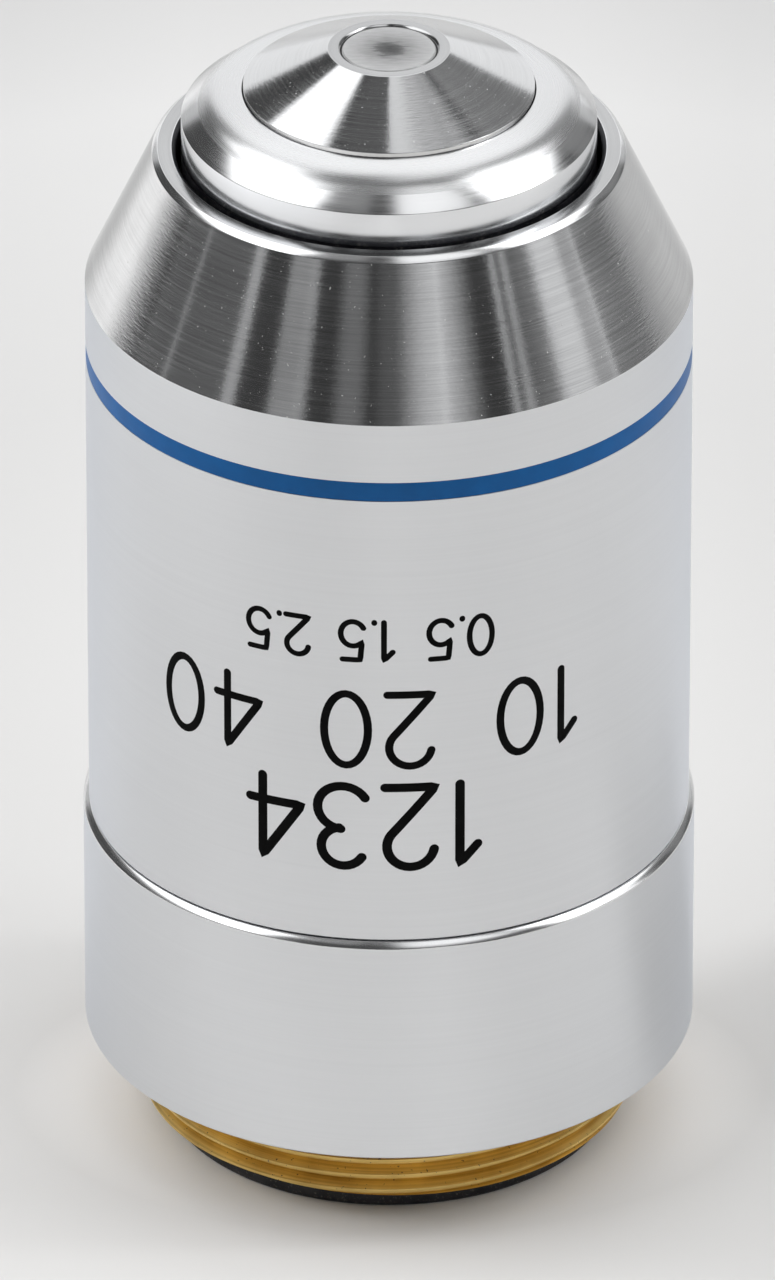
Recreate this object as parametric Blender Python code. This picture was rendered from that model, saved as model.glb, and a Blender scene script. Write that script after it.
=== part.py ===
# Spring-loaded dry microscope objective, standing on its mounting thread with the front lens up.
# The origin is the centre of the rear end face, on the optical axis. +Z runs to the front lens.
# The nose, with every lens in it, slides down into the housing against a coil spring.
import math

import bmesh
import bpy
from mathutils import Vector

MM = 0.001

# Clearances between pieces
SEAT_GAP = 0.05 * MM  # between faces that are screwed or clamped together
SCREW_GAP = 0.05 * MM  # radial, in a screwed joint
SLIDE_GAP = 0.06 * MM  # radial, between the lens barrel and its guide bore
CELL_GAP = 0.05 * MM  # radial, between a lens cell and the barrel's bore
LENS_GAP = 0.05 * MM  # radial, between a lens and its cell
CEMENT = 0.02 * MM  # layer between two cemented lenses

# Radii, from the lens cells outwards
CELL_RADIUS = 7.31 * MM
BARREL_FRONT_WALL = 1.0 * MM  # where the barrel shows above the sleeve
BARREL_STEP = 0.5 * MM  # the sliding part of the barrel is this much larger
GUIDE_WALL = 1.6 * MM
GUIDE_TO_SLEEVE = 0.65 * MM  # air between the guide tube and the sleeve
SLEEVE_WALL = 1.1 * MM
BASE_STEP = 0.23 * MM  # the base ring stands proud of the sleeve by this much

# Mount body: mounting thread, base ring, spigot and guide tube, turned from one brass bar
THREAD_RADIUS = 10.16 * MM  # crest of the standard 20.32 mm objective thread
THREAD_PITCH = 0.7056 * MM  # 36 threads to the inch
THREAD_DEPTH = 0.45 * MM
THREAD_FLAT = 0.11 * MM  # width of each crest
THREAD_LENGTH = 3.35 * MM
THREAD_RELIEF = 1.2 * MM  # plain neck under the shoulder
UNDERCUT_DEPTH = 0.12 * MM  # sunk into the shoulder round the neck, so that the thread seats fully
UNDERCUT_WIDTH = 0.1 * MM  # how far it reaches beyond the thread's crest
BASE_HEIGHT = 10.15 * MM
BASE_LOWER_EDGE = 0.12 * MM
BASE_UPPER_BEVEL = 0.22 * MM  # height of the bevel that meets the sleeve
SPIGOT_HEIGHT = 5.0 * MM
GUIDE_DROP = 5.35 * MM  # from the foot of the cone down to the top of the guide tube
LEDGE_HEIGHT = 1.4 * MM  # spring ledge above the shoulder
LEDGE_WIDTH = 1.55 * MM
REAR_COUNTERBORE_STEP = 0.9 * MM
REAR_COUNTERBORE_DEPTH = 1.9 * MM

# Rear stop ring, screwed into the counterbore, on whose flange the objective stands
FLANGE_THICKNESS = 0.8 * MM
FLANGE_INSET = 0.45 * MM  # inside the thread's root
FLANGE_CHAMFER = 0.1 * MM
STOP_RING_WALL = 1.35 * MM
SPANNER_SLOT_WIDTH = 1.2 * MM
SPANNER_SLOT_DEPTH = 0.45 * MM

# Outer sleeve: cylinder with the colour groove, then the cone and the rim round the nose
SLEEVE_CYLINDER = 23.8 * MM
SLEEVE_EDGE = 0.1 * MM
CONE_HEIGHT = 5.85 * MM
RIM_LAND = 0.57 * MM
RIM_BEVEL_HEIGHT = 0.22 * MM
RIM_BEVEL_WIDTH = 0.22 * MM
RIM_CHAMFER = 0.18 * MM
RIM_DEPTH = 1.9 * MM  # length of the bore round the nose
NOSE_GAP = 0.21 * MM  # the open ring between nose and rim
BAND_DROP = 2.6 * MM  # from the foot of the cone down to the colour groove
BAND_WIDTH = 0.85 * MM
BAND_DEPTH = 0.2 * MM
BAND_INSET = 0.03 * MM  # the enamel in the groove lies this far inside the sleeve's surface

# Lens barrel
NOSE_PROUD = 1.37 * MM  # plain wall of the barrel that shows above the rim
NOSE_CHAMFER_WIDTH = 0.68 * MM
NOSE_CHAMFER_HEIGHT = 0.53 * MM
NOSE_EDGE_RADIUS = 0.27 * MM  # the rounded edge above the chamfer
NOSE_CROWN_RISE = 0.45 * MM  # the sloping ring from that edge up to the front cell
LIP_THICKNESS = 1.9 * MM
BARREL_TAIL = 1.0 * MM  # bare bore behind the retaining ring
TRAVEL = 2.0 * MM  # how far the nose can be pushed in
BARREL_STOP_LENGTH = 2.4 * MM  # of the ring that the barrel's step rests under
BARREL_STOP_BITE = 0.55 * MM  # the ring's seat in the guide tube is this much wider than its bore

# Guide screw and its groove in the barrel
GUIDE_SCREW_RADIUS = 0.8 * MM
GUIDE_POINT_RADIUS = 0.6 * MM
GUIDE_POINT_LENGTH = 0.75 * MM
GUIDE_SCREW_INSET = 0.15 * MM  # its outer end lies inside the tube's surface
GUIDE_SCREW_DROP = 7.9 * MM  # from the top of the guide tube down to the screw
GROOVE_DEPTH = 0.95 * MM
GROOVE_GAP = 0.1 * MM  # round the screw's point
SCREWDRIVER_SLOT_WIDTH = 0.3 * MM
SCREWDRIVER_SLOT_DEPTH = 0.35 * MM

# Return spring
WIRE_RADIUS = 0.35 * MM
SPRING_WALL_GAP = 0.35 * MM
ACTIVE_COILS = 5
CLOSED_COIL_GAP = 0.06 * MM

# Front cell: the cone round the front lens, and the flange behind the barrel's lip
FRONT_CONE_RADIUS = 5.86 * MM
FRONT_CONE_FOOT = 0.18 * MM  # short straight side at the foot of the cone
FRONT_CONE_HEIGHT = 1.64 * MM
FRONT_RIM_WIDTH = 0.5 * MM
FRONT_LENS_RADIUS = 1.9 * MM
FRONT_LENS_RECESS = 0.05 * MM
FRONT_LENS_EDGE = 0.9 * MM
FRONT_LENS_DOME = 1.45 * MM
FRONT_SEAT_LENGTH = 1.2 * MM
FRONT_CAVITY_RADIUS = 4.3 * MM
FRONT_FLANGE = 1.25 * MM

# Glass groups behind the front lens, front to rear: the semi-diameter, how far the first surface
# lies behind the cell's front face, the surface radii, the thicknesses, and the ring that follows.
# A positive surface radius bulges towards the front.
MENISCUS_RADIUS = 3.3 * MM
MENISCUS_RECESS = 1.3 * MM
MENISCUS_FRONT = -9.0 * MM
MENISCUS_REAR = -4.6 * MM
MENISCUS_THICKNESS = 1.7 * MM
MENISCUS_SPACER = 1.2 * MM

DOUBLET_RADIUS = 4.5 * MM
DOUBLET_RECESS = 0.5 * MM
DOUBLET_FRONT = 30.0 * MM
DOUBLET_CEMENTED = 6.5 * MM
DOUBLET_REAR = -8.5 * MM
DOUBLET_FLINT_THICKNESS = 0.9 * MM
DOUBLET_CROWN_THICKNESS = 3.5 * MM
DOUBLET_SPACER = 1.4 * MM

TRIPLET_RADIUS = 4.9 * MM
TRIPLET_RECESS = 0.5 * MM
TRIPLET_FRONT = 11.0 * MM
TRIPLET_FIRST_CEMENTED = -9.5 * MM
TRIPLET_SECOND_CEMENTED = 8.5 * MM
TRIPLET_REAR = -14.0 * MM
TRIPLET_OUTER_THICKNESS = 2.8 * MM  # of the front and the rear lens
TRIPLET_MIDDLE_THICKNESS = 0.8 * MM
APERTURE_DISC_THICKNESS = 0.4 * MM

REAR_DOUBLET_RADIUS = 4.4 * MM
REAR_DOUBLET_RECESS = 1.4 * MM
REAR_DOUBLET_FRONT = -16.0 * MM
REAR_DOUBLET_CEMENTED = -7.5 * MM
REAR_DOUBLET_REAR = -30.0 * MM
REAR_CROWN_THICKNESS = 1.6 * MM
REAR_FLINT_THICKNESS = 1.1 * MM
RETAINING_RING_HEIGHT = 1.8 * MM

GROUPS = (
    {
        "name": "meniscus",
        "lenses": ("meniscus_lens",),
        "radius": MENISCUS_RADIUS,
        "recess": MENISCUS_RECESS,
        "surfaces": (MENISCUS_FRONT, MENISCUS_REAR),
        "thicknesses": (MENISCUS_THICKNESS,),
        "spacer": MENISCUS_SPACER,
    },
    {
        "name": "doublet",
        "lenses": ("doublet_flint", "doublet_crown"),
        "radius": DOUBLET_RADIUS,
        "recess": DOUBLET_RECESS,
        "surfaces": (DOUBLET_FRONT, DOUBLET_CEMENTED, DOUBLET_REAR),
        "thicknesses": (DOUBLET_FLINT_THICKNESS, DOUBLET_CROWN_THICKNESS),
        "spacer": DOUBLET_SPACER,
    },
    {
        "name": "triplet",
        "lenses": ("triplet_front", "triplet_middle", "triplet_rear"),
        "radius": TRIPLET_RADIUS,
        "recess": TRIPLET_RECESS,
        "surfaces": (TRIPLET_FRONT, TRIPLET_FIRST_CEMENTED, TRIPLET_SECOND_CEMENTED, TRIPLET_REAR),
        "thicknesses": (TRIPLET_OUTER_THICKNESS, TRIPLET_MIDDLE_THICKNESS, TRIPLET_OUTER_THICKNESS),
        "spacer": APERTURE_DISC_THICKNESS,
    },
    {
        "name": "rear_doublet",
        "lenses": ("rear_crown", "rear_flint"),
        "radius": REAR_DOUBLET_RADIUS,
        "recess": REAR_DOUBLET_RECESS,
        "surfaces": (REAR_DOUBLET_FRONT, REAR_DOUBLET_CEMENTED, REAR_DOUBLET_REAR),
        "thicknesses": (REAR_CROWN_THICKNESS, REAR_FLINT_THICKNESS),
        "spacer": RETAINING_RING_HEIGHT,
    },
)
CELL_TAIL = 0.3 * MM  # of each cell behind its glass
SEAT_LIP = 0.45 * MM  # width and height of the conical lip that the glass rests against
SPACER_WALL = 1.1 * MM
APERTURE_RADIUS = 3.1 * MM
RETAINING_RING_WALL = 1.5 * MM

# Facets
HOUSING_SEGMENTS = 48
CELL_SEGMENTS = 32
LENS_SEGMENTS = 24
SCREW_SEGMENTS = 16
LENS_RINGS = 3
EDGE_STEPS = 3
POINTS_PER_COIL = 16

# Derived radii
BARREL_BORE = CELL_RADIUS + CELL_GAP
NOSE_RADIUS = BARREL_BORE + BARREL_FRONT_WALL
SLIDING_RADIUS = NOSE_RADIUS + BARREL_STEP
GUIDE_BORE = SLIDING_RADIUS + SLIDE_GAP
GUIDE_RADIUS = GUIDE_BORE + GUIDE_WALL
SLEEVE_BORE = GUIDE_RADIUS + GUIDE_TO_SLEEVE
SLEEVE_RADIUS = SLEEVE_BORE + SLEEVE_WALL
BASE_RADIUS = SLEEVE_RADIUS + BASE_STEP
RIM_BORE = NOSE_RADIUS + NOSE_GAP
STOP_SEAT_RADIUS = GUIDE_BORE + BARREL_STOP_BITE
LEDGE_BORE = GUIDE_BORE - LEDGE_WIDTH
REAR_COUNTERBORE = LEDGE_BORE + REAR_COUNTERBORE_STEP
THREAD_ROOT = THREAD_RADIUS - THREAD_DEPTH


def cell_height(group):
    """Height of the cell that holds a glass group."""
    cement = CEMENT * (len(group["lenses"]) - 1)
    return group["recess"] + sum(group["thicknesses"]) + cement + CELL_TAIL


# Derived heights, from the rear end face
SHOULDER_Z = FLANGE_THICKNESS + SEAT_GAP + THREAD_LENGTH
BASE_TOP_Z = SHOULDER_Z + BASE_HEIGHT
LEDGE_Z = SHOULDER_Z + LEDGE_HEIGHT
SLEEVE_Z = BASE_TOP_Z + SEAT_GAP
CONE_FOOT_Z = SLEEVE_Z + SLEEVE_CYLINDER
RIM_Z = CONE_FOOT_Z + CONE_HEIGHT + RIM_BEVEL_HEIGHT
GUIDE_TOP_Z = CONE_FOOT_Z - GUIDE_DROP
GUIDE_SCREW_Z = GUIDE_TOP_Z - GUIDE_SCREW_DROP
STOP_SEAT_Z = GUIDE_TOP_Z - BARREL_STOP_LENGTH - SEAT_GAP
NOSE_FACE_Z = RIM_Z + NOSE_PROUD + NOSE_CHAMFER_HEIGHT + NOSE_EDGE_RADIUS + NOSE_CROWN_RISE
LIP_Z = NOSE_FACE_Z - LIP_THICKNESS
FRONT_RIM_Z = NOSE_FACE_Z + FRONT_CONE_FOOT + FRONT_CONE_HEIGHT
STACK_Z = LIP_Z - FRONT_FLANGE - SEAT_GAP
STACK_LENGTH = sum(cell_height(group) + group["spacer"] + 2 * SEAT_GAP for group in GROUPS)
BARREL_REAR_Z = STACK_Z - STACK_LENGTH - BARREL_TAIL


def material(name, colour, metallic, roughness, transmission=0.0):
    """One Principled material for a sub-part."""
    made = bpy.data.materials.new(name)
    made.use_nodes = True
    shader = made.node_tree.nodes["Principled BSDF"]
    shader.inputs["Base Color"].default_value = (*colour, 1.0)
    shader.inputs["Metallic"].default_value = metallic
    shader.inputs["Roughness"].default_value = roughness
    shader.inputs["Transmission Weight"].default_value = transmission
    made.diffuse_color = (*colour, 1.0)
    return made


def satin_chrome(name):
    return material(name, (0.74, 0.75, 0.77), 1.0, 0.38)


def bright_chrome(name):
    return material(name, (0.72, 0.72, 0.73), 1.0, 0.12)


def brass(name):
    return material(name, (0.72, 0.52, 0.2), 1.0, 0.3)


def black_metal(name):
    return material(name, (0.02, 0.02, 0.024), 0.6, 0.45)


def spring_steel(name):
    return material(name, (0.5, 0.5, 0.52), 1.0, 0.25)


def blue_enamel(name):
    return material(name, (0.0, 0.08, 0.25), 0.0, 0.3)


def glass(name):
    return material(name, (0.9, 0.93, 0.95), 0.0, 0.02, 1.0)


def link(name, shape, finish, z, parent):
    """Puts a shape in the scene as the sub-part of that name, with its origin on the axis at z."""
    obj = bpy.data.objects.new(name, shape)
    obj.data.materials.append(finish(name))
    bpy.context.scene.collection.objects.link(obj)
    obj.parent = parent
    obj.location = Vector((0, 0, z)) - parent.location
    return obj


def turned_mesh(name, profile, segments, closed=True):
    """Spins a profile of (radius, height) points round Z. An open one starts and ends on the axis."""
    bm = bmesh.new()
    points = [bm.verts.new((radius, 0, height)) for radius, height in profile]
    pairs = list(zip(points, points[1:]))
    if closed:
        pairs.append((points[-1], points[0]))
    edges = [bm.edges.new(pair) for pair in pairs]
    bmesh.ops.spin(
        bm,
        geom=points + edges,
        axis=(0, 0, 1),
        cent=(0, 0, 0),
        angle=2 * math.pi,
        steps=segments,
        use_merge=True,
    )
    bmesh.ops.remove_doubles(bm, verts=bm.verts, dist=0.001 * MM)
    bmesh.ops.recalc_face_normals(bm, faces=bm.faces)
    mesh = bpy.data.meshes.new(name)
    bm.to_mesh(mesh)
    bm.free()
    mesh.shade_smooth()
    mesh.set_sharp_from_angle(angle=math.radians(25))
    return mesh


def turned(name, profile, finish, z, parent, segments=HOUSING_SEGMENTS, closed=True):
    """A lathe-turned sub-part, with its origin on the axis at z."""
    return link(name, turned_mesh(name, profile, segments, closed), finish, z, parent)


def as_cutter(obj):
    """Hides an object that only cuts others."""
    obj.hide_render = True
    obj.display_type = "WIRE"
    return obj


def box_cutter(name, size, centre, parent):
    """A box of this size, with its middle at centre."""
    bm = bmesh.new()
    bmesh.ops.create_cube(bm, size=1.0)
    bmesh.ops.scale(bm, vec=size, verts=bm.verts)
    mesh = bpy.data.meshes.new(name)
    bm.to_mesh(mesh)
    bm.free()
    cutter = bpy.data.objects.new(name, mesh)
    bpy.context.scene.collection.objects.link(cutter)
    cutter.parent = parent
    cutter.location = Vector(centre) - parent.location
    return as_cutter(cutter)


def cut(obj, cutter):
    """Subtracts a cutter from obj."""
    modifier = obj.modifiers.new(cutter.name, "BOOLEAN")
    modifier.operation = "DIFFERENCE"
    modifier.solver = "EXACT"
    modifier.object = cutter


def cut_spanner_slots(ring, face_z, parent):
    """Cuts a slot for a pin spanner across both sides of a ring's end face."""
    size = (4 * BASE_RADIUS, SPANNER_SLOT_WIDTH, 2 * SPANNER_SLOT_DEPTH)
    cut(ring, box_cutter(ring.name + "_slots", size, (0, 0, face_z), parent))


def thread_profile():
    """Ridges of the mounting thread, from its rear end to the neck, with the shoulder at zero."""
    flank = THREAD_PITCH / 2 - THREAD_FLAT
    ridges = int((THREAD_LENGTH - THREAD_RELIEF) / THREAD_PITCH)
    points = []
    for ridge in range(ridges, 0, -1):
        foot = -THREAD_RELIEF - ridge * THREAD_PITCH
        points += [
            (THREAD_ROOT, foot),
            (THREAD_RADIUS, foot + flank),
            (THREAD_RADIUS, foot + flank + THREAD_FLAT),
            (THREAD_ROOT, foot + 2 * flank + THREAD_FLAT),
        ]
    return points


def make_mount_body(parent):
    """Brass body: thread, base ring, spigot for the sleeve and guide tube for the lens barrel."""
    rear = -THREAD_LENGTH
    counterbore_end = rear + REAR_COUNTERBORE_DEPTH
    spigot = SLEEVE_BORE - SCREW_GAP
    spigot_top = BASE_HEIGHT + SPIGOT_HEIGHT
    guide_top = GUIDE_TOP_Z - SHOULDER_Z
    stop_seat = STOP_SEAT_Z - SHOULDER_Z
    undercut = THREAD_RADIUS + UNDERCUT_WIDTH
    profile = [
        (REAR_COUNTERBORE, rear),
        (THREAD_ROOT, rear),
        *thread_profile(),
        (THREAD_ROOT, UNDERCUT_DEPTH),
        (undercut, UNDERCUT_DEPTH),
        (undercut, 0),
        (BASE_RADIUS - BASE_LOWER_EDGE, 0),
        (BASE_RADIUS, BASE_LOWER_EDGE),
        (BASE_RADIUS, BASE_HEIGHT - BASE_UPPER_BEVEL),
        (BASE_RADIUS - BASE_STEP, BASE_HEIGHT),
        (spigot, BASE_HEIGHT),
        (spigot, spigot_top),
        (GUIDE_RADIUS, spigot_top),
        (GUIDE_RADIUS, guide_top),
        (STOP_SEAT_RADIUS, guide_top),
        (STOP_SEAT_RADIUS, stop_seat),
        (GUIDE_BORE, stop_seat),
        (GUIDE_BORE, LEDGE_HEIGHT),
        (LEDGE_BORE, LEDGE_HEIGHT),
        (LEDGE_BORE, counterbore_end),
        (REAR_COUNTERBORE, counterbore_end),
    ]
    body = turned("mount_body", profile, brass, SHOULDER_Z, parent)
    hole_radius = GUIDE_SCREW_RADIUS + SCREW_GAP
    hole_profile = [
        (0, -GUIDE_WALL),
        (hole_radius, -GUIDE_WALL),
        (hole_radius, GUIDE_WALL),
        (0, GUIDE_WALL),
    ]
    hole = turned(
        "guide_screw_hole", hole_profile, brass, GUIDE_SCREW_Z, parent, SCREW_SEGMENTS, closed=False
    )
    hole.location.y = -(GUIDE_BORE + GUIDE_WALL / 2)
    hole.rotation_euler.x = math.radians(90)
    cut(body, as_cutter(hole))


def make_rear_stop_ring(parent):
    """Black ring whose spigot screws into the counterbore and whose flange covers the thread's end."""
    spigot = REAR_COUNTERBORE - SCREW_GAP
    bore = spigot - STOP_RING_WALL
    flange = THREAD_ROOT - FLANGE_INSET
    top = FLANGE_THICKNESS + REAR_COUNTERBORE_DEPTH
    profile = [
        (bore, 0),
        (flange - FLANGE_CHAMFER, 0),
        (flange, FLANGE_CHAMFER),
        (flange, FLANGE_THICKNESS),
        (spigot, FLANGE_THICKNESS),
        (spigot, top),
        (bore, top),
    ]
    ring = turned("rear_stop_ring", profile, black_metal, 0, parent)
    cut_spanner_slots(ring, 0, parent)


def make_outer_sleeve(parent):
    """Satin sleeve with the colour groove, the cone and the rim that the nose comes through."""
    cone_top = SLEEVE_CYLINDER + CONE_HEIGHT
    rim = cone_top + RIM_BEVEL_HEIGHT
    land_bore = RIM_BORE + RIM_CHAMFER
    land_radius = land_bore + RIM_LAND
    rim_radius = land_radius + RIM_BEVEL_WIDTH
    bore_end = rim - RIM_DEPTH
    slope = (SLEEVE_RADIUS - rim_radius) / CONE_HEIGHT
    inner_cone_radius = SLEEVE_BORE - slope * (bore_end - SLEEVE_CYLINDER)
    band_top = SLEEVE_CYLINDER - BAND_DROP
    band_foot = band_top - BAND_WIDTH
    profile = [
        (SLEEVE_BORE, 0),
        (SLEEVE_RADIUS - SLEEVE_EDGE, 0),
        (SLEEVE_RADIUS, SLEEVE_EDGE),
        (SLEEVE_RADIUS, band_foot),
        (SLEEVE_RADIUS - BAND_DEPTH, band_foot),
        (SLEEVE_RADIUS - BAND_DEPTH, band_top),
        (SLEEVE_RADIUS, band_top),
        (SLEEVE_RADIUS, SLEEVE_CYLINDER),
        (rim_radius, cone_top),
        (land_radius, rim),
        (land_bore, rim),
        (RIM_BORE, rim - RIM_CHAMFER),
        (RIM_BORE, bore_end),
        (inner_cone_radius, bore_end),
        (SLEEVE_BORE, SLEEVE_CYLINDER),
    ]
    turned("outer_sleeve", profile, satin_chrome, SLEEVE_Z, parent)


def make_colour_band(parent):
    """Blue enamel that fills the groove in the sleeve."""
    inner = SLEEVE_RADIUS - BAND_DEPTH + SEAT_GAP
    outer = SLEEVE_RADIUS - BAND_INSET
    height = BAND_WIDTH - 2 * SEAT_GAP
    profile = [(inner, 0), (outer, 0), (outer, height), (inner, height)]
    z = CONE_FOOT_Z - BAND_DROP - BAND_WIDTH + SEAT_GAP
    turned("colour_band", profile, blue_enamel, z, parent)


def make_barrel_stop_ring(parent):
    """Ring screwed into the top of the guide tube, under which the barrel's step comes to rest."""
    outer = STOP_SEAT_RADIUS - SCREW_GAP
    bore = NOSE_RADIUS + SLIDE_GAP
    profile = [(bore, 0), (outer, 0), (outer, BARREL_STOP_LENGTH), (bore, BARREL_STOP_LENGTH)]
    z = STOP_SEAT_Z + SEAT_GAP
    ring = turned("barrel_stop_ring", profile, black_metal, z, parent)
    cut_spanner_slots(ring, z + BARREL_STOP_LENGTH, parent)


def make_guide_screw(parent):
    """Set screw in the guide tube. Its plain point runs in the barrel's groove and stops it turning."""
    outer_end = GUIDE_RADIUS - GUIDE_SCREW_INSET
    length = outer_end - (SLIDING_RADIUS - GROOVE_DEPTH + GROOVE_GAP)
    thread_end = GUIDE_POINT_LENGTH - length
    profile = [
        (0, 0),
        (GUIDE_SCREW_RADIUS, 0),
        (GUIDE_SCREW_RADIUS, thread_end),
        (GUIDE_POINT_RADIUS, thread_end),
        (GUIDE_POINT_RADIUS, -length),
        (0, -length),
    ]
    screw = turned(
        "guide_screw", profile, spring_steel, GUIDE_SCREW_Z, parent, SCREW_SEGMENTS, closed=False
    )
    screw.location.y = -outer_end
    screw.rotation_euler.x = math.radians(90)
    size = (4 * GUIDE_SCREW_RADIUS, 2 * SCREWDRIVER_SLOT_DEPTH, SCREWDRIVER_SLOT_WIDTH)
    cut(screw, box_cutter("screwdriver_slot", size, (0, -outer_end, GUIDE_SCREW_Z), parent))


def spring_height(turn, length):
    """Height of the wire's middle after this many turns, with one closed coil at each end."""
    closed_rise = 2 * WIRE_RADIUS + CLOSED_COIL_GAP
    open_rise = (length - 2 * WIRE_RADIUS - 2 * closed_rise) / ACTIVE_COILS
    first = min(turn, 1.0)
    last = max(turn - 1.0 - ACTIVE_COILS, 0.0)
    return WIRE_RADIUS + (first + last) * closed_rise + (turn - first - last) * open_rise


def make_return_spring(parent):
    """Coil spring between the mount body's ledge and the rear end of the lens barrel."""
    foot = LEDGE_Z + SEAT_GAP
    length = BARREL_REAR_Z - SEAT_GAP - foot
    mean_radius = GUIDE_BORE - SPRING_WALL_GAP - WIRE_RADIUS
    curve = bpy.data.curves.new("return_spring", "CURVE")
    curve.dimensions = "3D"
    curve.bevel_depth = WIRE_RADIUS
    curve.bevel_resolution = 1
    curve.use_fill_caps = True
    spline = curve.splines.new("POLY")
    spline.points.add((ACTIVE_COILS + 2) * POINTS_PER_COIL)
    for index, point in enumerate(spline.points):
        turn = index / POINTS_PER_COIL
        angle = 2 * math.pi * turn
        height = spring_height(turn, length)
        point.co = (mean_radius * math.cos(angle), mean_radius * math.sin(angle), height, 1)
    link("return_spring", curve, spring_steel, foot, parent)


def make_lens_barrel(parent):
    """Barrel that carries every lens. Its front shows above the sleeve, its rear slides in the guide."""
    bore = FRONT_CONE_RADIUS + CELL_GAP
    edge_radius = NOSE_RADIUS - NOSE_CHAMFER_WIDTH
    edge_foot = LIP_THICKNESS - NOSE_CROWN_RISE - NOSE_EDGE_RADIUS
    edge = []
    for step in range(EDGE_STEPS + 1):
        angle = math.radians(90) * step / EDGE_STEPS
        radius = edge_radius - NOSE_EDGE_RADIUS * (1 - math.sin(angle))
        edge.append((radius, edge_foot + NOSE_EDGE_RADIUS * math.cos(angle)))
    barrel_step = STOP_SEAT_Z - LIP_Z
    rear = BARREL_REAR_Z - LIP_Z
    profile = [
        (bore, 0),
        (bore, LIP_THICKNESS),
        *edge,
        (NOSE_RADIUS, edge_foot - NOSE_CHAMFER_HEIGHT),
        (NOSE_RADIUS, barrel_step),
        (SLIDING_RADIUS, barrel_step),
        (SLIDING_RADIUS, rear),
        (BARREL_BORE, rear),
        (BARREL_BORE, 0),
    ]
    barrel = turned("lens_barrel", profile, bright_chrome, LIP_Z, parent)
    half_width = GUIDE_POINT_RADIUS + GROOVE_GAP
    size = (2 * half_width, 2 * GROOVE_DEPTH, TRAVEL + 2 * half_width)
    centre = (0, -SLIDING_RADIUS, GUIDE_SCREW_Z + TRAVEL / 2)
    cut(barrel, box_cutter("guide_groove", size, centre, parent))


def make_front_cell(parent):
    """Bright cone round the front lens, through the barrel's lip, with its flange behind the lip."""
    bore = FRONT_LENS_RADIUS + LENS_GAP
    rim = FRONT_RIM_Z - LIP_Z
    profile = [
        (bore, rim),
        (bore + FRONT_RIM_WIDTH, rim),
        (FRONT_CONE_RADIUS, LIP_THICKNESS + FRONT_CONE_FOOT),
        (FRONT_CONE_RADIUS, -SEAT_GAP),
        (CELL_RADIUS, -SEAT_GAP),
        (CELL_RADIUS, -FRONT_FLANGE),
        (FRONT_CAVITY_RADIUS, -FRONT_FLANGE),
        (FRONT_CAVITY_RADIUS, 0),
        (bore, rim - FRONT_SEAT_LENGTH),
    ]
    turned("front_cell", profile, bright_chrome, LIP_Z, parent)


def make_front_lens(parent):
    """Thick front lens, flat towards the specimen and domed behind."""
    steps = 2 * LENS_RINGS
    dome = []
    for step in range(steps):
        angle = math.radians(90) * step / steps
        depth = FRONT_LENS_EDGE + FRONT_LENS_DOME * math.sin(angle)
        dome.append((FRONT_LENS_RADIUS * math.cos(angle), -depth))
    profile = [(0, 0), (FRONT_LENS_RADIUS, 0), *dome, (0, -FRONT_LENS_EDGE - FRONT_LENS_DOME)]
    z = FRONT_RIM_Z - FRONT_LENS_RECESS
    turned("front_lens", profile, glass, z, parent, LENS_SEGMENTS, closed=False)


def sag(surface_radius, distance):
    """Depth of a spherical surface at a distance from the axis, positive for a positive radius."""
    depth = abs(surface_radius) - math.sqrt(surface_radius**2 - distance**2)
    return math.copysign(depth, surface_radius)


def make_lens(name, semi_diameter, front, rear, thickness, z, parent):
    """A lens between two spherical surfaces, whose front surface crosses the axis at z."""
    distances = [semi_diameter * step / LENS_RINGS for step in range(LENS_RINGS + 1)]
    profile = [(distance, -sag(front, distance)) for distance in distances]
    profile += [(distance, -thickness - sag(rear, distance)) for distance in reversed(distances)]
    turned(name, profile, glass, z, parent, LENS_SEGMENTS, closed=False)


def make_group(group, z, parent):
    """The glass of one group, whose cell's front face is at z."""
    height = z - group["recess"]
    fronts, rears = group["surfaces"], group["surfaces"][1:]
    for name, front, rear, thickness in zip(group["lenses"], fronts, rears, group["thicknesses"]):
        make_lens(name, group["radius"], front, rear, thickness, height, parent)
        height -= thickness + CEMENT


def make_cell(group, z, parent):
    """Ring that holds one glass group. The glass is cemented in from the rear, against the lip."""
    bore = group["radius"] + LENS_GAP
    height = cell_height(group)
    lip = SEAT_GAP - group["recess"] - sag(group["surfaces"][0], group["radius"])
    profile = [
        (bore - SEAT_LIP, 0),
        (CELL_RADIUS, 0),
        (CELL_RADIUS, -height),
        (bore, -height),
        (bore, lip),
        (bore - SEAT_LIP, lip + SEAT_LIP),
    ]
    turned(group["name"] + "_cell", profile, brass, z, parent, CELL_SEGMENTS)


def make_plain_ring(name, bore, height, z, parent):
    """Black ring that fills the barrel's bore, its front face at z."""
    profile = [(bore, 0), (CELL_RADIUS, 0), (CELL_RADIUS, -height), (bore, -height)]
    return turned(name, profile, black_metal, z, parent, CELL_SEGMENTS)


def make_lens_stack(parent):
    """Cells with their glass and the rings between them, each seated on the one in front of it."""
    z = STACK_Z
    for group in GROUPS:
        make_cell(group, z, parent)
        make_group(group, z, parent)
        z -= cell_height(group) + SEAT_GAP
        name, height = group["name"], group["spacer"]
        if name == "triplet":
            make_plain_ring("aperture_disc", APERTURE_RADIUS, height, z, parent)
        elif name == "rear_doublet":
            bore = CELL_RADIUS - RETAINING_RING_WALL
            ring = make_plain_ring("retaining_ring", bore, height, z, parent)
            cut_spanner_slots(ring, z - height, parent)
        else:
            make_plain_ring(name + "_spacer", CELL_RADIUS - SPACER_WALL, height, z, parent)
        z -= height + SEAT_GAP


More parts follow.
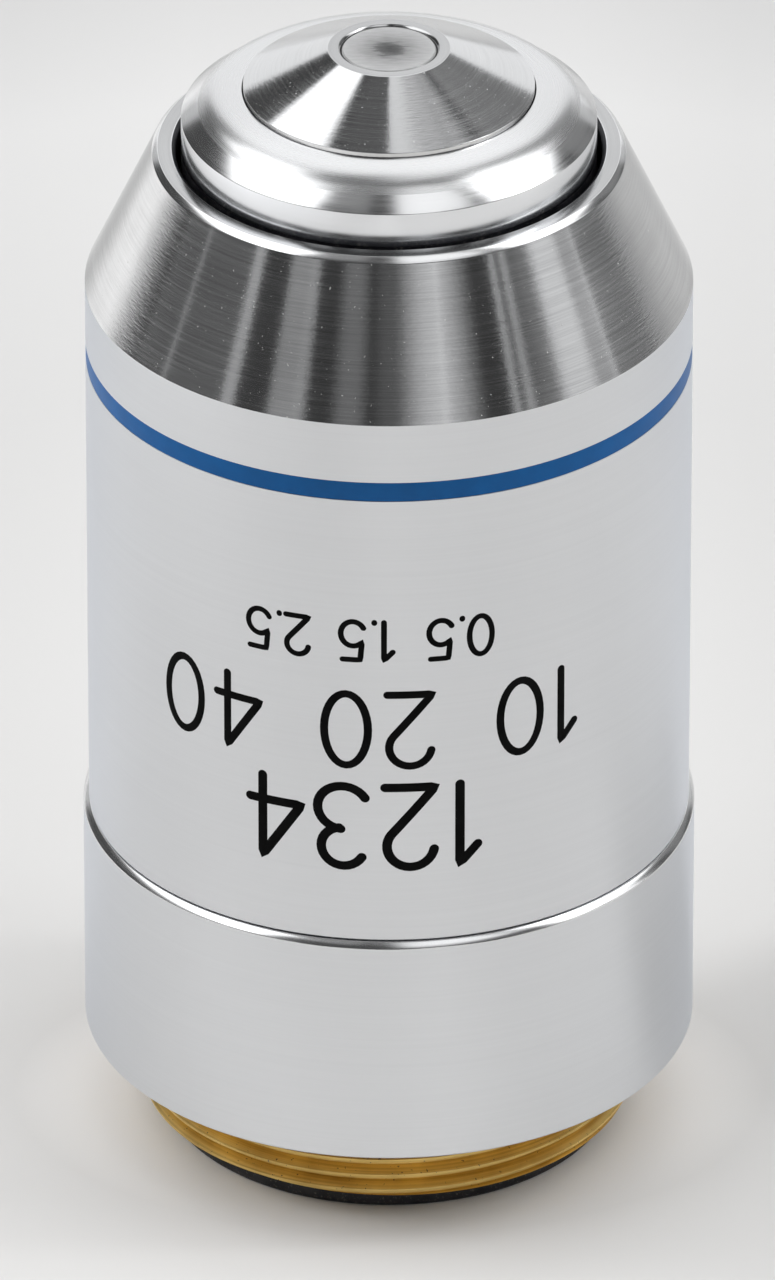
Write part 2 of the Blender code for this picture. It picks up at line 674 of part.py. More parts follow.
def empty(name, z):
    """Parent of the pieces that stay together, on the optical axis at z."""
    made = bpy.data.objects.new(name, None)
    bpy.context.scene.collection.objects.link(made)
    made.location = (0, 0, z)
    return made


def main():
    for obj in list(bpy.data.objects):
        bpy.data.objects.remove(obj)
    housing = empty("housing", 0)
    make_mount_body(housing)
    make_rear_stop_ring(housing)
    make_outer_sleeve(housing)
    make_colour_band(housing)
    make_barrel_stop_ring(housing)
    make_guide_screw(housing)
    make_return_spring(housing)
    nose = empty("nose", LIP_Z)
    make_lens_barrel(nose)
    make_front_cell(nose)
    make_front_lens(nose)
    make_lens_stack(nose)


main()
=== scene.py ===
import math

import bpy
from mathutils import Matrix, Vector


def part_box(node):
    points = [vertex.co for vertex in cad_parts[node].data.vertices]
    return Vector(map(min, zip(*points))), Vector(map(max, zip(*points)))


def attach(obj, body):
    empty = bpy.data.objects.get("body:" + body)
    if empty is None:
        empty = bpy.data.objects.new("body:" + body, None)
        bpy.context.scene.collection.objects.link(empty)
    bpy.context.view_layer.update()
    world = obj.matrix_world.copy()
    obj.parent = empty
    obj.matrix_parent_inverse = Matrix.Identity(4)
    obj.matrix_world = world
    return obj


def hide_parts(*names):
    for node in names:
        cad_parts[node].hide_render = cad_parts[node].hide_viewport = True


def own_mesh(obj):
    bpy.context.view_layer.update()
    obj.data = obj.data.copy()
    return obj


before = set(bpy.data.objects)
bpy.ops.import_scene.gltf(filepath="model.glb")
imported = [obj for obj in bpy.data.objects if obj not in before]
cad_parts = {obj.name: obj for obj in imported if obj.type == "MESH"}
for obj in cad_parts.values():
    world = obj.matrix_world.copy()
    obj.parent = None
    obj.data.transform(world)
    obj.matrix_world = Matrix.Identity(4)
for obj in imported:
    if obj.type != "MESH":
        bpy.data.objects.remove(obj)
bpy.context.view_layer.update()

# Looks of a spring-loaded microscope objective that stands with its mounting thread down.
# Every visible node gets a finely turned copy, and the lens stack inside keeps its solids.

mm = 0.001
shoulderZ = 4.2 * mm  # lower face of the base ring
noseTravel = 2.0 * mm
margin = 0.01 * mm  # slack when a face is told by its place
clear = 1 * mm  # how far a cutter stands clear of the metal
weld = 1e-7  # points nearer to each other than this are one


def boxOf(node):
    low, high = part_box(node)
    return {"bottom": low.z, "top": high.z, "radius": max(high.x, high.y)}


# Middle and height of a box
def spanOf(box):
    return (box["bottom"] + box["top"]) / 2, box["top"] - box["bottom"]


# Camera

cameraView = {
    "pictureHeight": 1280,
    "focalPixels": 19637,
    "sensor": 36.0,
    "elevation": 29.83,
    "distance": 800 * mm,
    "aimAboveShoulder": 17.17 * mm,
    "aimX": -0.06 * mm,
    "clipNear": 10 * mm,
    "clipFar": 20000 * mm,
}


def addCamera():
    elevation = math.radians(cameraView["elevation"])
    aim = Vector((cameraView["aimX"], 0, shoulderZ + cameraView["aimAboveShoulder"]))
    back = Vector((0, -math.cos(elevation), math.sin(elevation)))
    bpy.ops.object.camera_add(location=aim + back * cameraView["distance"])
    camera = bpy.context.object
    camera.rotation_euler = (-back).to_track_quat("-Z", "Y").to_euler()
    camera.data.sensor_width = cameraView["sensor"]
    camera.data.lens = cameraView["sensor"] * cameraView["focalPixels"] / cameraView["pictureHeight"]
    camera.data.clip_start = cameraView["clipNear"]
    camera.data.clip_end = cameraView["clipFar"]
    bpy.context.scene.camera = camera
    print("camera placed")


# Shader helpers

def addNode(tree, kind, inputs=None, **settings):
    node = tree.nodes.new("ShaderNode" + kind)
    for key, value in settings.items():
        setattr(node, key, value)
    for key, value in (inputs or {}).items():
        if isinstance(value, bpy.types.NodeSocket):
            tree.links.new(value, node.inputs[key])
        else:
            node.inputs[key].default_value = value
    return node


def calc(tree, operation, first, second=0.0):
    return addNode(tree, "Math", {0: first, 1: second}, operation=operation).outputs[0]


def vectorCalc(tree, operation, first, second=(0, 0, 0)):
    node = addNode(tree, "VectorMath", {0: first, 1: second}, operation=operation)
    givesNumber = operation in ("LENGTH", "DISTANCE", "DOT_PRODUCT")
    return node.outputs["Value"] if givesNumber else node.outputs["Vector"]


def mapped(tree, value, span, **settings):
    return addNode(tree, "MapRange", {"Value": value, **span}, **settings).outputs[0]


def ramp(tree, factor, stops):
    node = addNode(tree, "ValToRGB", {"Fac": factor})
    elements = node.color_ramp.elements
    while len(elements) > 1:
        elements.remove(elements[-1])
    elements[0].position = stops[0][0]
    for place, _ in stops[1:]:
        elements.new(place)
    for element, (_, value) in zip(elements, stops):
        element.color = value if isinstance(value, tuple) else (value, value, value, 1)
    return node.outputs["Color"]


# The node's sockets 6 and 7 are its two colours, and its output 2 is their mixture
def mixed(tree, factor, first, second):
    return addNode(tree, "Mix", {0: factor, 6: first, 7: second}, data_type="RGBA").outputs[2]


def noise(tree, place, scale=1.0, detail=3.0, roughness=0.5):
    settings = {"Vector": place, "Scale": scale, "Detail": detail, "Roughness": roughness}
    return addNode(tree, "TexNoise", settings).outputs["Fac"]


def bump(tree, height, strength, depth, under=(0, 0, 0)):
    inputs = {"Height": height, "Strength": strength, "Distance": depth, "Normal": under}
    return addNode(tree, "Bump", inputs).outputs[0]


def startFinish(name, metallic, roughness, colour=(0.8, 0.8, 0.8)):
    finish = bpy.data.materials.new(name)
    finish.use_nodes = True
    tree = finish.node_tree
    shader = tree.nodes["Principled BSDF"]
    shader.inputs["Metallic"].default_value = metallic
    shader.inputs["Roughness"].default_value = roughness
    shader.inputs["Base Color"].default_value = (*colour, 1)
    return finish, tree, shader


# Where a point lies on its piece, its three coordinates and its distance from the axis
def placeOnPiece(tree):
    where = addNode(tree, "TexCoord").outputs["Object"]
    axes = addNode(tree, "SeparateXYZ", {0: where}).outputs
    radius = calc(tree, "SQRT", calc(tree, "ADD", calc(tree, "MULTIPLY", axes[0], axes[0]),
                                     calc(tree, "MULTIPLY", axes[1], axes[1])))
    return where, axes, radius


latheLean = 0.8  # share of the radius in the marks' height, which brings them onto flat faces too


# Coordinates in millimetres, drawn out round the axis as a lathe tool leaves its marks
def turnedPlace(tree, around, across):
    _, axes, radius = placeOnPiece(tree)
    along = calc(tree, "SUBTRACT", axes[2], calc(tree, "MULTIPLY", radius, latheLean))
    lengths = ((axes[0], around), (axes[1], around), (along, across))
    scaled = {index: calc(tree, "MULTIPLY", length, scale / mm)
              for index, (length, scale) in enumerate(lengths)}
    return addNode(tree, "CombineXYZ", scaled).outputs[0]


def plainPlace(tree):
    where = addNode(tree, "TexCoord").outputs["Object"]
    return vectorCalc(tree, "MULTIPLY", where, (1 / mm,) * 3)


# What every metal has, where its own look says nothing else
anyMetal = {
    "around": 0.06,
    "cloudScale": 0.25,
    "cloudShare": 0.35,
    "speckScale": 9.0,
    "speckFrom": 0.8,
    "speckEdge": 0.02,
    "speck": (0.12, 0.11, 0.1),
    "edge": (1, 1, 1),
    "depth": 0.01 * mm,
    "scuffs": 0,
    "scuffScales": (2.5, 8.0),
    "glintTurn": 0.25,  # glints run across the lathe lines
}
noiseSpan = (0.3, 0.7)  # most of a noise lies between these
noiseMiddle = 0.5


# Turned metal: lines round the axis in colour, gloss and relief, with specks and some scuffs
def turnedMetal(name, ownLook):
    look = {**anyMetal, **ownLook}
    finish, tree, shader = startFinish(name, 1.0, look["roughness"])
    lines = noise(tree, turnedPlace(tree, look["around"], look["lines"]), detail=4, roughness=0.6)
    cloud = noise(tree, plainPlace(tree), look["cloudScale"])
    shade = calc(tree, "ADD", calc(tree, "MULTIPLY", lines, 1 - look["cloudShare"]),
                 calc(tree, "MULTIPLY", cloud, look["cloudShare"]))
    low, high = noiseSpan
    colour = ramp(tree, shade, [(low, (*look["dark"], 1)), (high, (*look["light"], 1))])
    specks = noise(tree, plainPlace(tree), look["speckScale"], detail=2, roughness=0.7)
    speckMask = ramp(tree, specks, [(look["speckFrom"], 0.0), (look["speckFrom"] + look["speckEdge"], 1.0)])
    tree.links.new(mixed(tree, speckMask, colour, (*look["speck"], 1)), shader.inputs["Base Color"])
    tree.links.new(calc(tree, "SUBTRACT", 1.0, speckMask), shader.inputs["Metallic"])
    glossSpan = {"From Min": low, "From Max": high, "To Min": look["roughness"] - look["spread"],
                 "To Max": look["roughness"] + look["spread"]}
    tree.links.new(mapped(tree, lines, glossSpan), shader.inputs["Roughness"])
    relief = bump(tree, lines, look["relief"], look["depth"])
    if look["scuffs"]:
        scuffs = noise(tree, turnedPlace(tree, *look["scuffScales"]), roughness=0.6)
        relief = bump(tree, scuffs, look["scuffs"], look["depth"], relief)
    tree.links.new(relief, shader.inputs["Normal"])
    shader.inputs["Anisotropic"].default_value = look["anisotropic"]
    shader.inputs["Anisotropic Rotation"].default_value = look["glintTurn"]
    shader.inputs["Specular Tint"].default_value = (*look["edge"], 1)
    tangent = addNode(tree, "Tangent", direction_type="RADIAL", axis="Z")
    tree.links.new(tangent.outputs[0], shader.inputs["Tangent"])
    return finish


metalLooks = {
    "satinChrome": {"roughness": 0.31, "spread": 0.02, "lines": 7.0, "relief": 0.02, "anisotropic": 0.65,
                    "dark": (0.755, 0.765, 0.78), "light": (0.79, 0.8, 0.815), "edge": (0.93, 0.955, 1.0),
                    "speckFrom": 0.84},
    "turnedCone": {"roughness": 0.13, "spread": 0.03, "lines": 12.0, "around": 0.2, "relief": 0.12,
                   "scuffs": 0.3, "anisotropic": 0.6, "dark": (0.5, 0.5, 0.5), "light": (0.72, 0.72, 0.72),
                   "speckScale": 7.0, "speckFrom": 0.71, "speck": (0.6, 0.6, 0.58)},
    "polishedEdge": {"roughness": 0.18, "spread": 0.03, "lines": 9.0, "relief": 0.08, "anisotropic": 0.3,
                     "dark": (0.8, 0.8, 0.8), "light": (0.9, 0.9, 0.9), "speckFrom": 0.84},
    "dullRim": {"roughness": 0.16, "spread": 0.03, "lines": 9.0, "relief": 0.05, "anisotropic": 0.3,
                "dark": (0.5, 0.5, 0.5), "light": (0.6, 0.6, 0.6), "speckFrom": 0.84},
    "noseSatin": {"roughness": 0.17, "spread": 0.03, "lines": 9.0, "relief": 0.04, "anisotropic": 0.5,
                  "dark": (0.77, 0.78, 0.795), "light": (0.83, 0.84, 0.857), "speckFrom": 0.86},
    "crownSatin": {"roughness": 0.27, "spread": 0.015, "lines": 9.0, "relief": 0.008, "anisotropic": 0.2,
                   "dark": (0.76, 0.76, 0.76), "light": (0.79, 0.79, 0.79), "speckFrom": 0.86},
    "frontSteel": {"roughness": 0.125, "spread": 0.03, "lines": 14.0, "relief": 0.03, "anisotropic": 0.7,
                   "scuffs": 0.2, "dark": (0.66, 0.66, 0.66), "light": (0.76, 0.76, 0.76), "speckFrom": 0.7,
                   "speck": (0.6, 0.6, 0.6)},
    "bareBrass": {"roughness": 0.36, "spread": 0.08, "lines": 6.0, "relief": 0.2, "anisotropic": 0.2,
                  "dark": (0.36, 0.21, 0.05), "light": (1.0, 0.73, 0.26), "cloudScale": 0.5,
                  "speckFrom": 0.68, "speckScale": 6.0, "speck": (0.12, 0.07, 0.03)},
    "springSteel": {"roughness": 0.25, "spread": 0.05, "lines": 4.0, "relief": 0.1, "anisotropic": 0.0,
                    "dark": (0.4, 0.4, 0.42), "light": (0.55, 0.55, 0.57)},
}


blackLook = {
    "metallic": 0.3,
    "roughness": 0.42,
    "stainScale": 0.9,
    "stain": [(0.35, (0.008, 0.009, 0.012, 1)), (0.7, (0.03, 0.03, 0.036, 1))],
    "dustScale": 7.0,
    "dustShare": [(0.58, 0.0), (0.68, 0.45)],
    "dust": (0.25, 0.23, 0.2, 1),
    "relief": 0.2,
    "depth": 0.02 * mm,
}


# Blackened metal, unevenly dark, with specks of dust
def blackenedMetal(name, look):
    finish, tree, shader = startFinish(name, look["metallic"], look["roughness"])
    place = plainPlace(tree)
    stain = noise(tree, place, look["stainScale"], detail=4)
    colour = ramp(tree, stain, look["stain"])
    dust = ramp(tree, noise(tree, place, look["dustScale"], roughness=0.75), look["dustShare"])
    tree.links.new(mixed(tree, dust, colour, look["dust"]), shader.inputs["Base Color"])
    tree.links.new(bump(tree, stain, look["relief"], look["depth"]), shader.inputs["Normal"])
    return finish


paintLooks = {
    "blueEnamel": {"dark": (0.0, 0.087, 0.28), "light": (0.0, 0.103, 0.33), "roughness": 0.4, "gloss": 0.22},
    "engravingBlack": {"dark": (0.002,) * 3, "light": (0.006,) * 3, "roughness": 0.6, "gloss": 0.04},
}
paintSurface = {"shadeScale": 1.2, "waveScale": 5.0, "relief": 0.08, "depth": 0.01 * mm}


# Paint that fills an engraved groove: even, with slight waves on it
def groovePaint(name, look):
    finish, tree, shader = startFinish(name, 0.0, look["roughness"])
    place = plainPlace(tree)
    shade = noise(tree, place, paintSurface["shadeScale"])
    low, high = noiseSpan
    colour = ramp(tree, shade, [(low, (*look["dark"], 1)), (high, (*look["light"], 1))])
    tree.links.new(colour, shader.inputs["Base Color"])
    waves = noise(tree, place, paintSurface["waveScale"])
    relief = bump(tree, waves, paintSurface["relief"], paintSurface["depth"])
    tree.links.new(relief, shader.inputs["Normal"])
    shader.inputs["Specular IOR Level"].default_value = look["gloss"]
    return finish


innerGlass = {
    "tint": (0.96, 0.98, 0.99),
    "roughness": 0.02,
    "index": 1.6,
    "dustScale": 12.0,
    "dust": [(0.62, 0.02), (0.75, 0.18)],
}


# Clear optical glass with a trace of dust
def opticalGlass(name, look):
    finish, tree, shader = startFinish(name, 0.0, look["roughness"], look["tint"])
    shader.inputs["Transmission Weight"].default_value = 1.0
    shader.inputs["IOR"].default_value = look["index"]
    dust = noise(tree, plainPlace(tree), look["dustScale"], roughness=0.7)
    tree.links.new(ramp(tree, dust, look["dust"]), shader.inputs["Roughness"])
    return finish


# The front lens: dark in its middle and pale towards its rim, with wiped streaks over the middle
def wipedGlass(name, look):
    finish, tree, shader = startFinish(name, 0.0, look["roughness"])
    where, _, radius = placeOnPiece(tree)
    stretched = vectorCalc(tree, "MULTIPLY", where, look["streaks"])
    wipes = calc(tree, "SUBTRACT", noise(tree, stretched, roughness=0.6), noiseMiddle)
    share = calc(tree, "DIVIDE", radius, look["lensRadius"])
    reach = calc(tree, "ADD", share, calc(tree, "MULTIPLY", wipes, look["ragged"]))
    paleness = ramp(tree, reach, look["paleness"])
    tree.links.new(paleness, shader.inputs["Base Color"])
    tree.links.new(ramp(tree, reach, look["clear"]), shader.inputs["Transmission Weight"])
    shader.inputs["IOR"].default_value = look["index"]
    return finish


frontLensLook = {
    "roughness": 0.12,
    "index": 1.55,
    "streaks": (1500, 7000, 1500),
    "ragged": 0.5,
    "lensRadius": 1.9 * mm,
    "paleness": [(0.02, 0.02), (0.2, 0.09), (0.38, 0.3), (0.6, 0.38), (0.85, 0.46), (1.0, 0.52)],
    "clear": [(0.1, 0.7), (0.4, 0.35), (0.7, 0.25)],
}

finishes = {name: turnedMetal(name, look) for name, look in metalLooks.items()}
# the black finish also paints shade into the gaps round the nose
finishes["blackMetalAndPaintedShade"] = blackenedMetal("blackMetalAndPaintedShade", blackLook)
for name, look in paintLooks.items():
    finishes[name] = groovePaint(name, look)
finishes["wipedGlass"] = wipedGlass("wipedGlass", frontLensLook)
finishes["opticalGlass"] = opticalGlass("opticalGlass", innerGlass)
print("finishes made:", len(finishes))


# Modelling helpers

bevelAngle = math.radians(18)  # edges sharper than this get a small bevel
bevelSegments = 2
smoothAngle = math.radians(40)  # flatter edges than this are shaded smooth
faceWeight = 100  # how much more a broad face turns the shading than a narrow one
tubeResolution = 3


def deselectAll():
    if bpy.context.object and bpy.context.object.mode != "OBJECT":
        bpy.ops.object.mode_set(mode="OBJECT")
    bpy.ops.object.select_all(action="DESELECT")


def makeOnly(piece):
    deselectAll()
    piece.select_set(True)
    bpy.context.view_layer.objects.active = piece


def applyModifiers(piece):
    makeOnly(piece)
    for modifier in list(piece.modifiers):
        bpy.ops.object.modifier_apply(modifier=modifier.name)


def settle(piece):
    makeOnly(piece)
    bpy.ops.object.transform_apply(location=True, rotation=True, scale=True)


def editAll():
    bpy.ops.object.mode_set(mode="EDIT")
    bpy.ops.mesh.select_all(action="SELECT")


# Turns an outline of (radius, height) points into a ring of metal, loop after loop.
# A ring's last loop lands on its first one. A solid disc has its two ends filled.
def turnPiece(name, outline, segments=192, edge=0.03 * mm, ring=True):
    deselectAll()
    firstRadius, firstHeight = outline[0]
    bpy.ops.mesh.primitive_circle_add(vertices=segments, radius=firstRadius, location=(0, 0, firstHeight))
    piece = bpy.context.object
    piece.name = name
    settle(piece)
    editAll()
    radius, height = firstRadius, firstHeight
    for nextRadius, nextHeight in outline[1:] + outline[:1] * ring:
        bpy.ops.mesh.extrude_region_move(TRANSFORM_OT_translate={"value": (0, 0, nextHeight - height)})
        share = nextRadius / radius
        bpy.ops.transform.resize(value=(share, share, 1), center_override=(0, 0, nextHeight))
        radius, height = nextRadius, nextHeight
    closeMesh()
    if edge:
        bevel = piece.modifiers.new("edge", "BEVEL")
        bevel.width = edge
        bevel.segments = bevelSegments
        bevel.limit_method = "ANGLE"
        bevel.angle_limit = bevelAngle
        applyModifiers(piece)
    return piece


# Smooth shading in which the broad faces stay true and only the small edges turn
def shadeTurned(piece):
    makeOnly(piece)
    bpy.ops.object.shade_smooth_by_angle(angle=smoothAngle)
    weighted = piece.modifiers.new("weighted", "WEIGHTED_NORMAL")
    weighted.keep_sharp = True
    weighted.weight = faceWeight
    applyModifiers(piece)


# Merges doubles, fills what is still open, turns all faces outwards and leaves edit mode
def closeMesh(merge=weld):
    editAll()
    bpy.ops.mesh.remove_doubles(threshold=merge)
    bpy.ops.mesh.fill_holes(sides=0)
    bpy.ops.mesh.select_all(action="SELECT")
    bpy.ops.mesh.normals_make_consistent(inside=False)
    bpy.ops.object.mode_set(mode="OBJECT")


# Gives each face the first finish whose test it meets. A test is told the face's radius and height
# and how far its normal points outwards and up, from -1 to 1.
def paintFaces(piece, rules):
    for finish, _ in rules:
        piece.data.materials.append(finish)
    for face in piece.data.polygons:
        centre, normal = face.center, face.normal
        radius = max(math.hypot(centre.x, centre.y), weld)
        outward = (centre.x * normal.x + centre.y * normal.y) / radius
        for index, (_, test) in enumerate(rules):
            if test(radius, centre.z, outward, normal.z):
                face.material_index = index
                break


def anywhere(radius, height, outward, up):
    return True


# Cuts the cutter's shape out of a piece
def cutWith(piece, cutter):
    settle(cutter)
    modifier = piece.modifiers.new("cut", "BOOLEAN")
    modifier.operation = "DIFFERENCE"
    modifier.solver = "EXACT"
    modifier.object = cutter
    applyModifiers(piece)
    bpy.data.objects.remove(cutter)


def boxCutter(size, place):
    deselectAll()
    bpy.ops.mesh.primitive_cube_add(size=1, location=place)
    bpy.context.object.scale = size
    return bpy.context.object


def drillCutter(radius, length, place, segments=48, upright=False):
    deselectAll()
    turn = 0 if upright else math.radians(90)
    bpy.ops.mesh.primitive_cylinder_add(vertices=segments, radius=radius, depth=length, location=place,
                                        rotation=(turn, 0, 0))
    return bpy.context.object


def handOver(piece, body, slot, *nodes):
    shadeTurned(piece)
    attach(piece, body)
    if nodes:
        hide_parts(*nodes)
    print("made", piece.name, len(piece.data.polygons), "faces")


# Mount body: base ring, spigot and guide tube

mountBody = {
    "baseRadius": 12.5 * mm,
    "sleeveRadius": 12.27 * mm,
    "neck": 9.4 * mm,
    "undercut": 10.26 * mm,
    "undercutDepth": 0.12 * mm,
    "counterbore": 8.27 * mm,
    "counterboreDepth": 1.9 * mm,
    "ledgeBore": 7.37 * mm,
    "ledgeHeight": 1.4 * mm,
    "guideBore": 8.92 * mm,
    "guideRadius": 10.52 * mm,
    "stopSeat": 9.47 * mm,
    "stopSeatDepth": 2.45 * mm,
    "spigotRadius": 11.12 * mm,
    "spigotHeight": 5.0 * mm,
    "baseHeight": 10.15 * mm,
    "lowerEdge": 0.1 * mm,
    "upperBevel": 0.22 * mm,
    "bevelZone": 0.3 * mm,
    "bevelFacing": 0.2,
    "platedWidth": 0.3 * mm,
    "screwHoleLength": 4 * mm,
    "screwHoleY": -9.7 * mm,
    "screwGap": 0.05 * mm,
}


def makeMountBody():
    size = mountBody
    box = boxOf("mount_body")
    baseTop = shoulderZ + size["baseHeight"]
    spigotTop = baseTop + size["spigotHeight"]
    rear = box["bottom"]
    outline = [
        (size["counterbore"], rear),
        (size["neck"], rear),
        (size["neck"], shoulderZ + size["undercutDepth"]),
        (size["undercut"], shoulderZ + size["undercutDepth"]),
        (size["undercut"], shoulderZ),
        (size["baseRadius"] - size["lowerEdge"], shoulderZ),
        (size["baseRadius"], shoulderZ + size["lowerEdge"]),
        (size["baseRadius"], baseTop - size["upperBevel"]),
        (size["sleeveRadius"], baseTop),
        (size["spigotRadius"], baseTop),
        (size["spigotRadius"], spigotTop),
        (size["guideRadius"], spigotTop),
        (size["guideRadius"], box["top"]),
        (size["stopSeat"], box["top"]),
        (size["stopSeat"], box["top"] - size["stopSeatDepth"]),
        (size["guideBore"], box["top"] - size["stopSeatDepth"]),
        (size["guideBore"], shoulderZ + size["ledgeHeight"]),
        (size["ledgeBore"], shoulderZ + size["ledgeHeight"]),
        (size["ledgeBore"], rear + size["counterboreDepth"]),
        (size["counterbore"], rear + size["counterboreDepth"]),
    ]
    piece = turnPiece("baseRing", outline)
    screwHeight, screwWidth = spanOf(boxOf("guide_screw"))
    cutWith(piece, drillCutter(screwWidth / 2 + size["screwGap"], size["screwHoleLength"],
                               (0, size["screwHoleY"], screwHeight)))

    def bevelled(radius, height, outward, up):
        return min(up, outward) > size["bevelFacing"] and height > baseTop - size["bevelZone"]

    def plated(radius, height, outward, up):
        return height > shoulderZ - margin and radius > size["spigotRadius"] - size["platedWidth"]

    paintFaces(piece, [(finishes["polishedEdge"], bevelled), (finishes["satinChrome"], plated),
                       (finishes["bareBrass"], anywhere)])
    handOver(piece, "housing", "satin_chrome", "mount_body")


# Mounting thread: one ridge profile screwed round the axis, its ends cut off flat and closed

mountingThread = {
    "root": 9.71 * mm,
    "crest": 10.16 * mm,
    "crestFlat": 0.11 * mm,
    "pitch": 0.7056 * mm,
    "length": 3.35 * mm,
    "relief": 0.95 * mm,
    "leadIn": 0.3 * mm,
    "stepsPerTurn": 192,
    "turns": 7,
    "startAngle": 251,
    "bore": 9.4 * mm,
    "boreLength": 10 * mm,
}


def addThreadRod(size, bottom):
    deselectAll()
    flank = (size["pitch"] - 2 * size["crestFlat"]) / 2
    depth = size["crest"] - size["root"]
    profile = [(0, size["crestFlat"]), (depth, flank), (0, size["crestFlat"]), (-depth, flank)]
    start = (size["root"], 0, bottom - 2 * size["pitch"])
    bpy.ops.mesh.primitive_plane_add(size=size["pitch"], location=start)
    rod = bpy.context.object
    settle(rod)
    editAll()
    bpy.ops.mesh.merge(type="CENTER")
    for outwards, upwards in profile:
        bpy.ops.mesh.extrude_region_move(TRANSFORM_OT_translate={"value": (outwards, 0, upwards)})
    bpy.ops.object.mode_set(mode="OBJECT")
    screw = rod.modifiers.new("screw", "SCREW")
    screw.steps = screw.render_steps = size["stepsPerTurn"]
    screw.screw_offset = size["pitch"]
    screw.iterations = size["turns"]
    applyModifiers(rod)
    rod.rotation_euler.z = math.radians(size["startAngle"])
    settle(rod)
    editAll()
    bpy.ops.mesh.remove_doubles(threshold=weld)
    trimFlat(bottom, lower=True)
    trimFlat(bottom + size["length"] - margin, lower=False)
    closeMesh()
    return rod


# Cuts off what lies below or above a height
def trimFlat(height, lower):
    bpy.ops.mesh.select_all(action="SELECT")
    bpy.ops.mesh.bisect(plane_co=(0, 0, height), plane_no=(0, 0, 1), threshold=weld,
                        clear_inner=lower, clear_outer=not lower)


def makeMountingThread():
    size = mountingThread
    bottom = shoulderZ - size["length"]
    piece = addThreadRod(size, bottom)
    piece.name = "mountingThread"
    outside = size["crest"] + clear
    overCrest = size["crest"] + margin
    overRoot = size["root"] + 2 * margin
    run = size["crest"] - size["root"]
    chamferTool = [
        (outside, bottom - clear),
        (size["crest"] - size["leadIn"], bottom - clear),
        (size["crest"] - size["leadIn"], bottom),
        (overCrest, bottom + size["leadIn"]),
        (overCrest, shoulderZ - size["relief"] - run),
        (overRoot, shoulderZ - size["relief"]),
        (overRoot, shoulderZ + clear),
        (outside, shoulderZ + clear),
    ]
    cutWith(piece, turnPiece("chamferTool", chamferTool, edge=0))
    cutWith(piece, drillCutter(size["bore"], size["boreLength"], (0, 0, bottom), 192, upright=True))
    makeOnly(piece)
    closeMesh(10 * weld)
    piece.data.materials.append(finishes["bareBrass"])
    handOver(piece, "housing", "brass")


# Rear stop ring, black, on which the objective stands

stopRing = {
    "bore": 6.87 * mm,
    "spigot": 8.22 * mm,
    "flange": 9.26 * mm,
    "flangeThickness": 0.8 * mm,
    "chamfer": 0.1 * mm,
    "slotWidth": 1.2 * mm,
    "slotDepth": 0.45 * mm,
    "slotLength": 30 * mm,
}


def makeStopRing():
    size = stopRing
    box = boxOf("rear_stop_ring")
    outline = [
        (size["bore"], box["bottom"]),
        (size["flange"] - size["chamfer"], box["bottom"]),
        (size["flange"], box["bottom"] + size["chamfer"]),
        (size["flange"], box["bottom"] + size["flangeThickness"]),
        (size["spigot"], box["bottom"] + size["flangeThickness"]),
        (size["spigot"], box["top"]),
        (size["bore"], box["top"]),
    ]
    piece = turnPiece("rearStopRing", outline)
    slot = (size["slotLength"], size["slotWidth"], 2 * size["slotDepth"])
    cutWith(piece, boxCutter(slot, (0, 0, box["bottom"])))
    piece.data.materials.append(finishes["blackMetalAndPaintedShade"])
    handOver(piece, "housing", "black_metal", "rear_stop_ring")


# Outer sleeve: satin cylinder with the colour groove, bright cone and polished rim

outerSleeve = {
    "radius": 12.27 * mm,
    "bore": 11.17 * mm,
    "cylinder": 23.8 * mm,
    "footEdge": 0.06 * mm,
    "grooveDrop": 2.6 * mm,
    "grooveWidth": 0.85 * mm,
    "grooveDepth": 0.2 * mm,
    "rimRadius": 9.54 * mm,
    "coneHeight": 5.85 * mm,
    "landRadius": 9.32 * mm,
    "landBore": 8.75 * mm,
    "rimBore": 8.57 * mm,
    "rimChamfer": 0.18 * mm,
    "rimDepth": 1.9 * mm,
    "innerCone": 9.2 * mm,
    "slack": 0.1 * mm,
    "coneOutward": 0.8,
    "coneUp": (0.2, 0.6),
    "gapInward": 0.6,
    "landUp": 0.98,
}


# Lower and upper edge of the colour groove
def grooveSpan():
    top = boxOf("outer_sleeve")["bottom"] + outerSleeve["cylinder"] - outerSleeve["grooveDrop"]
    return top - outerSleeve["grooveWidth"], top


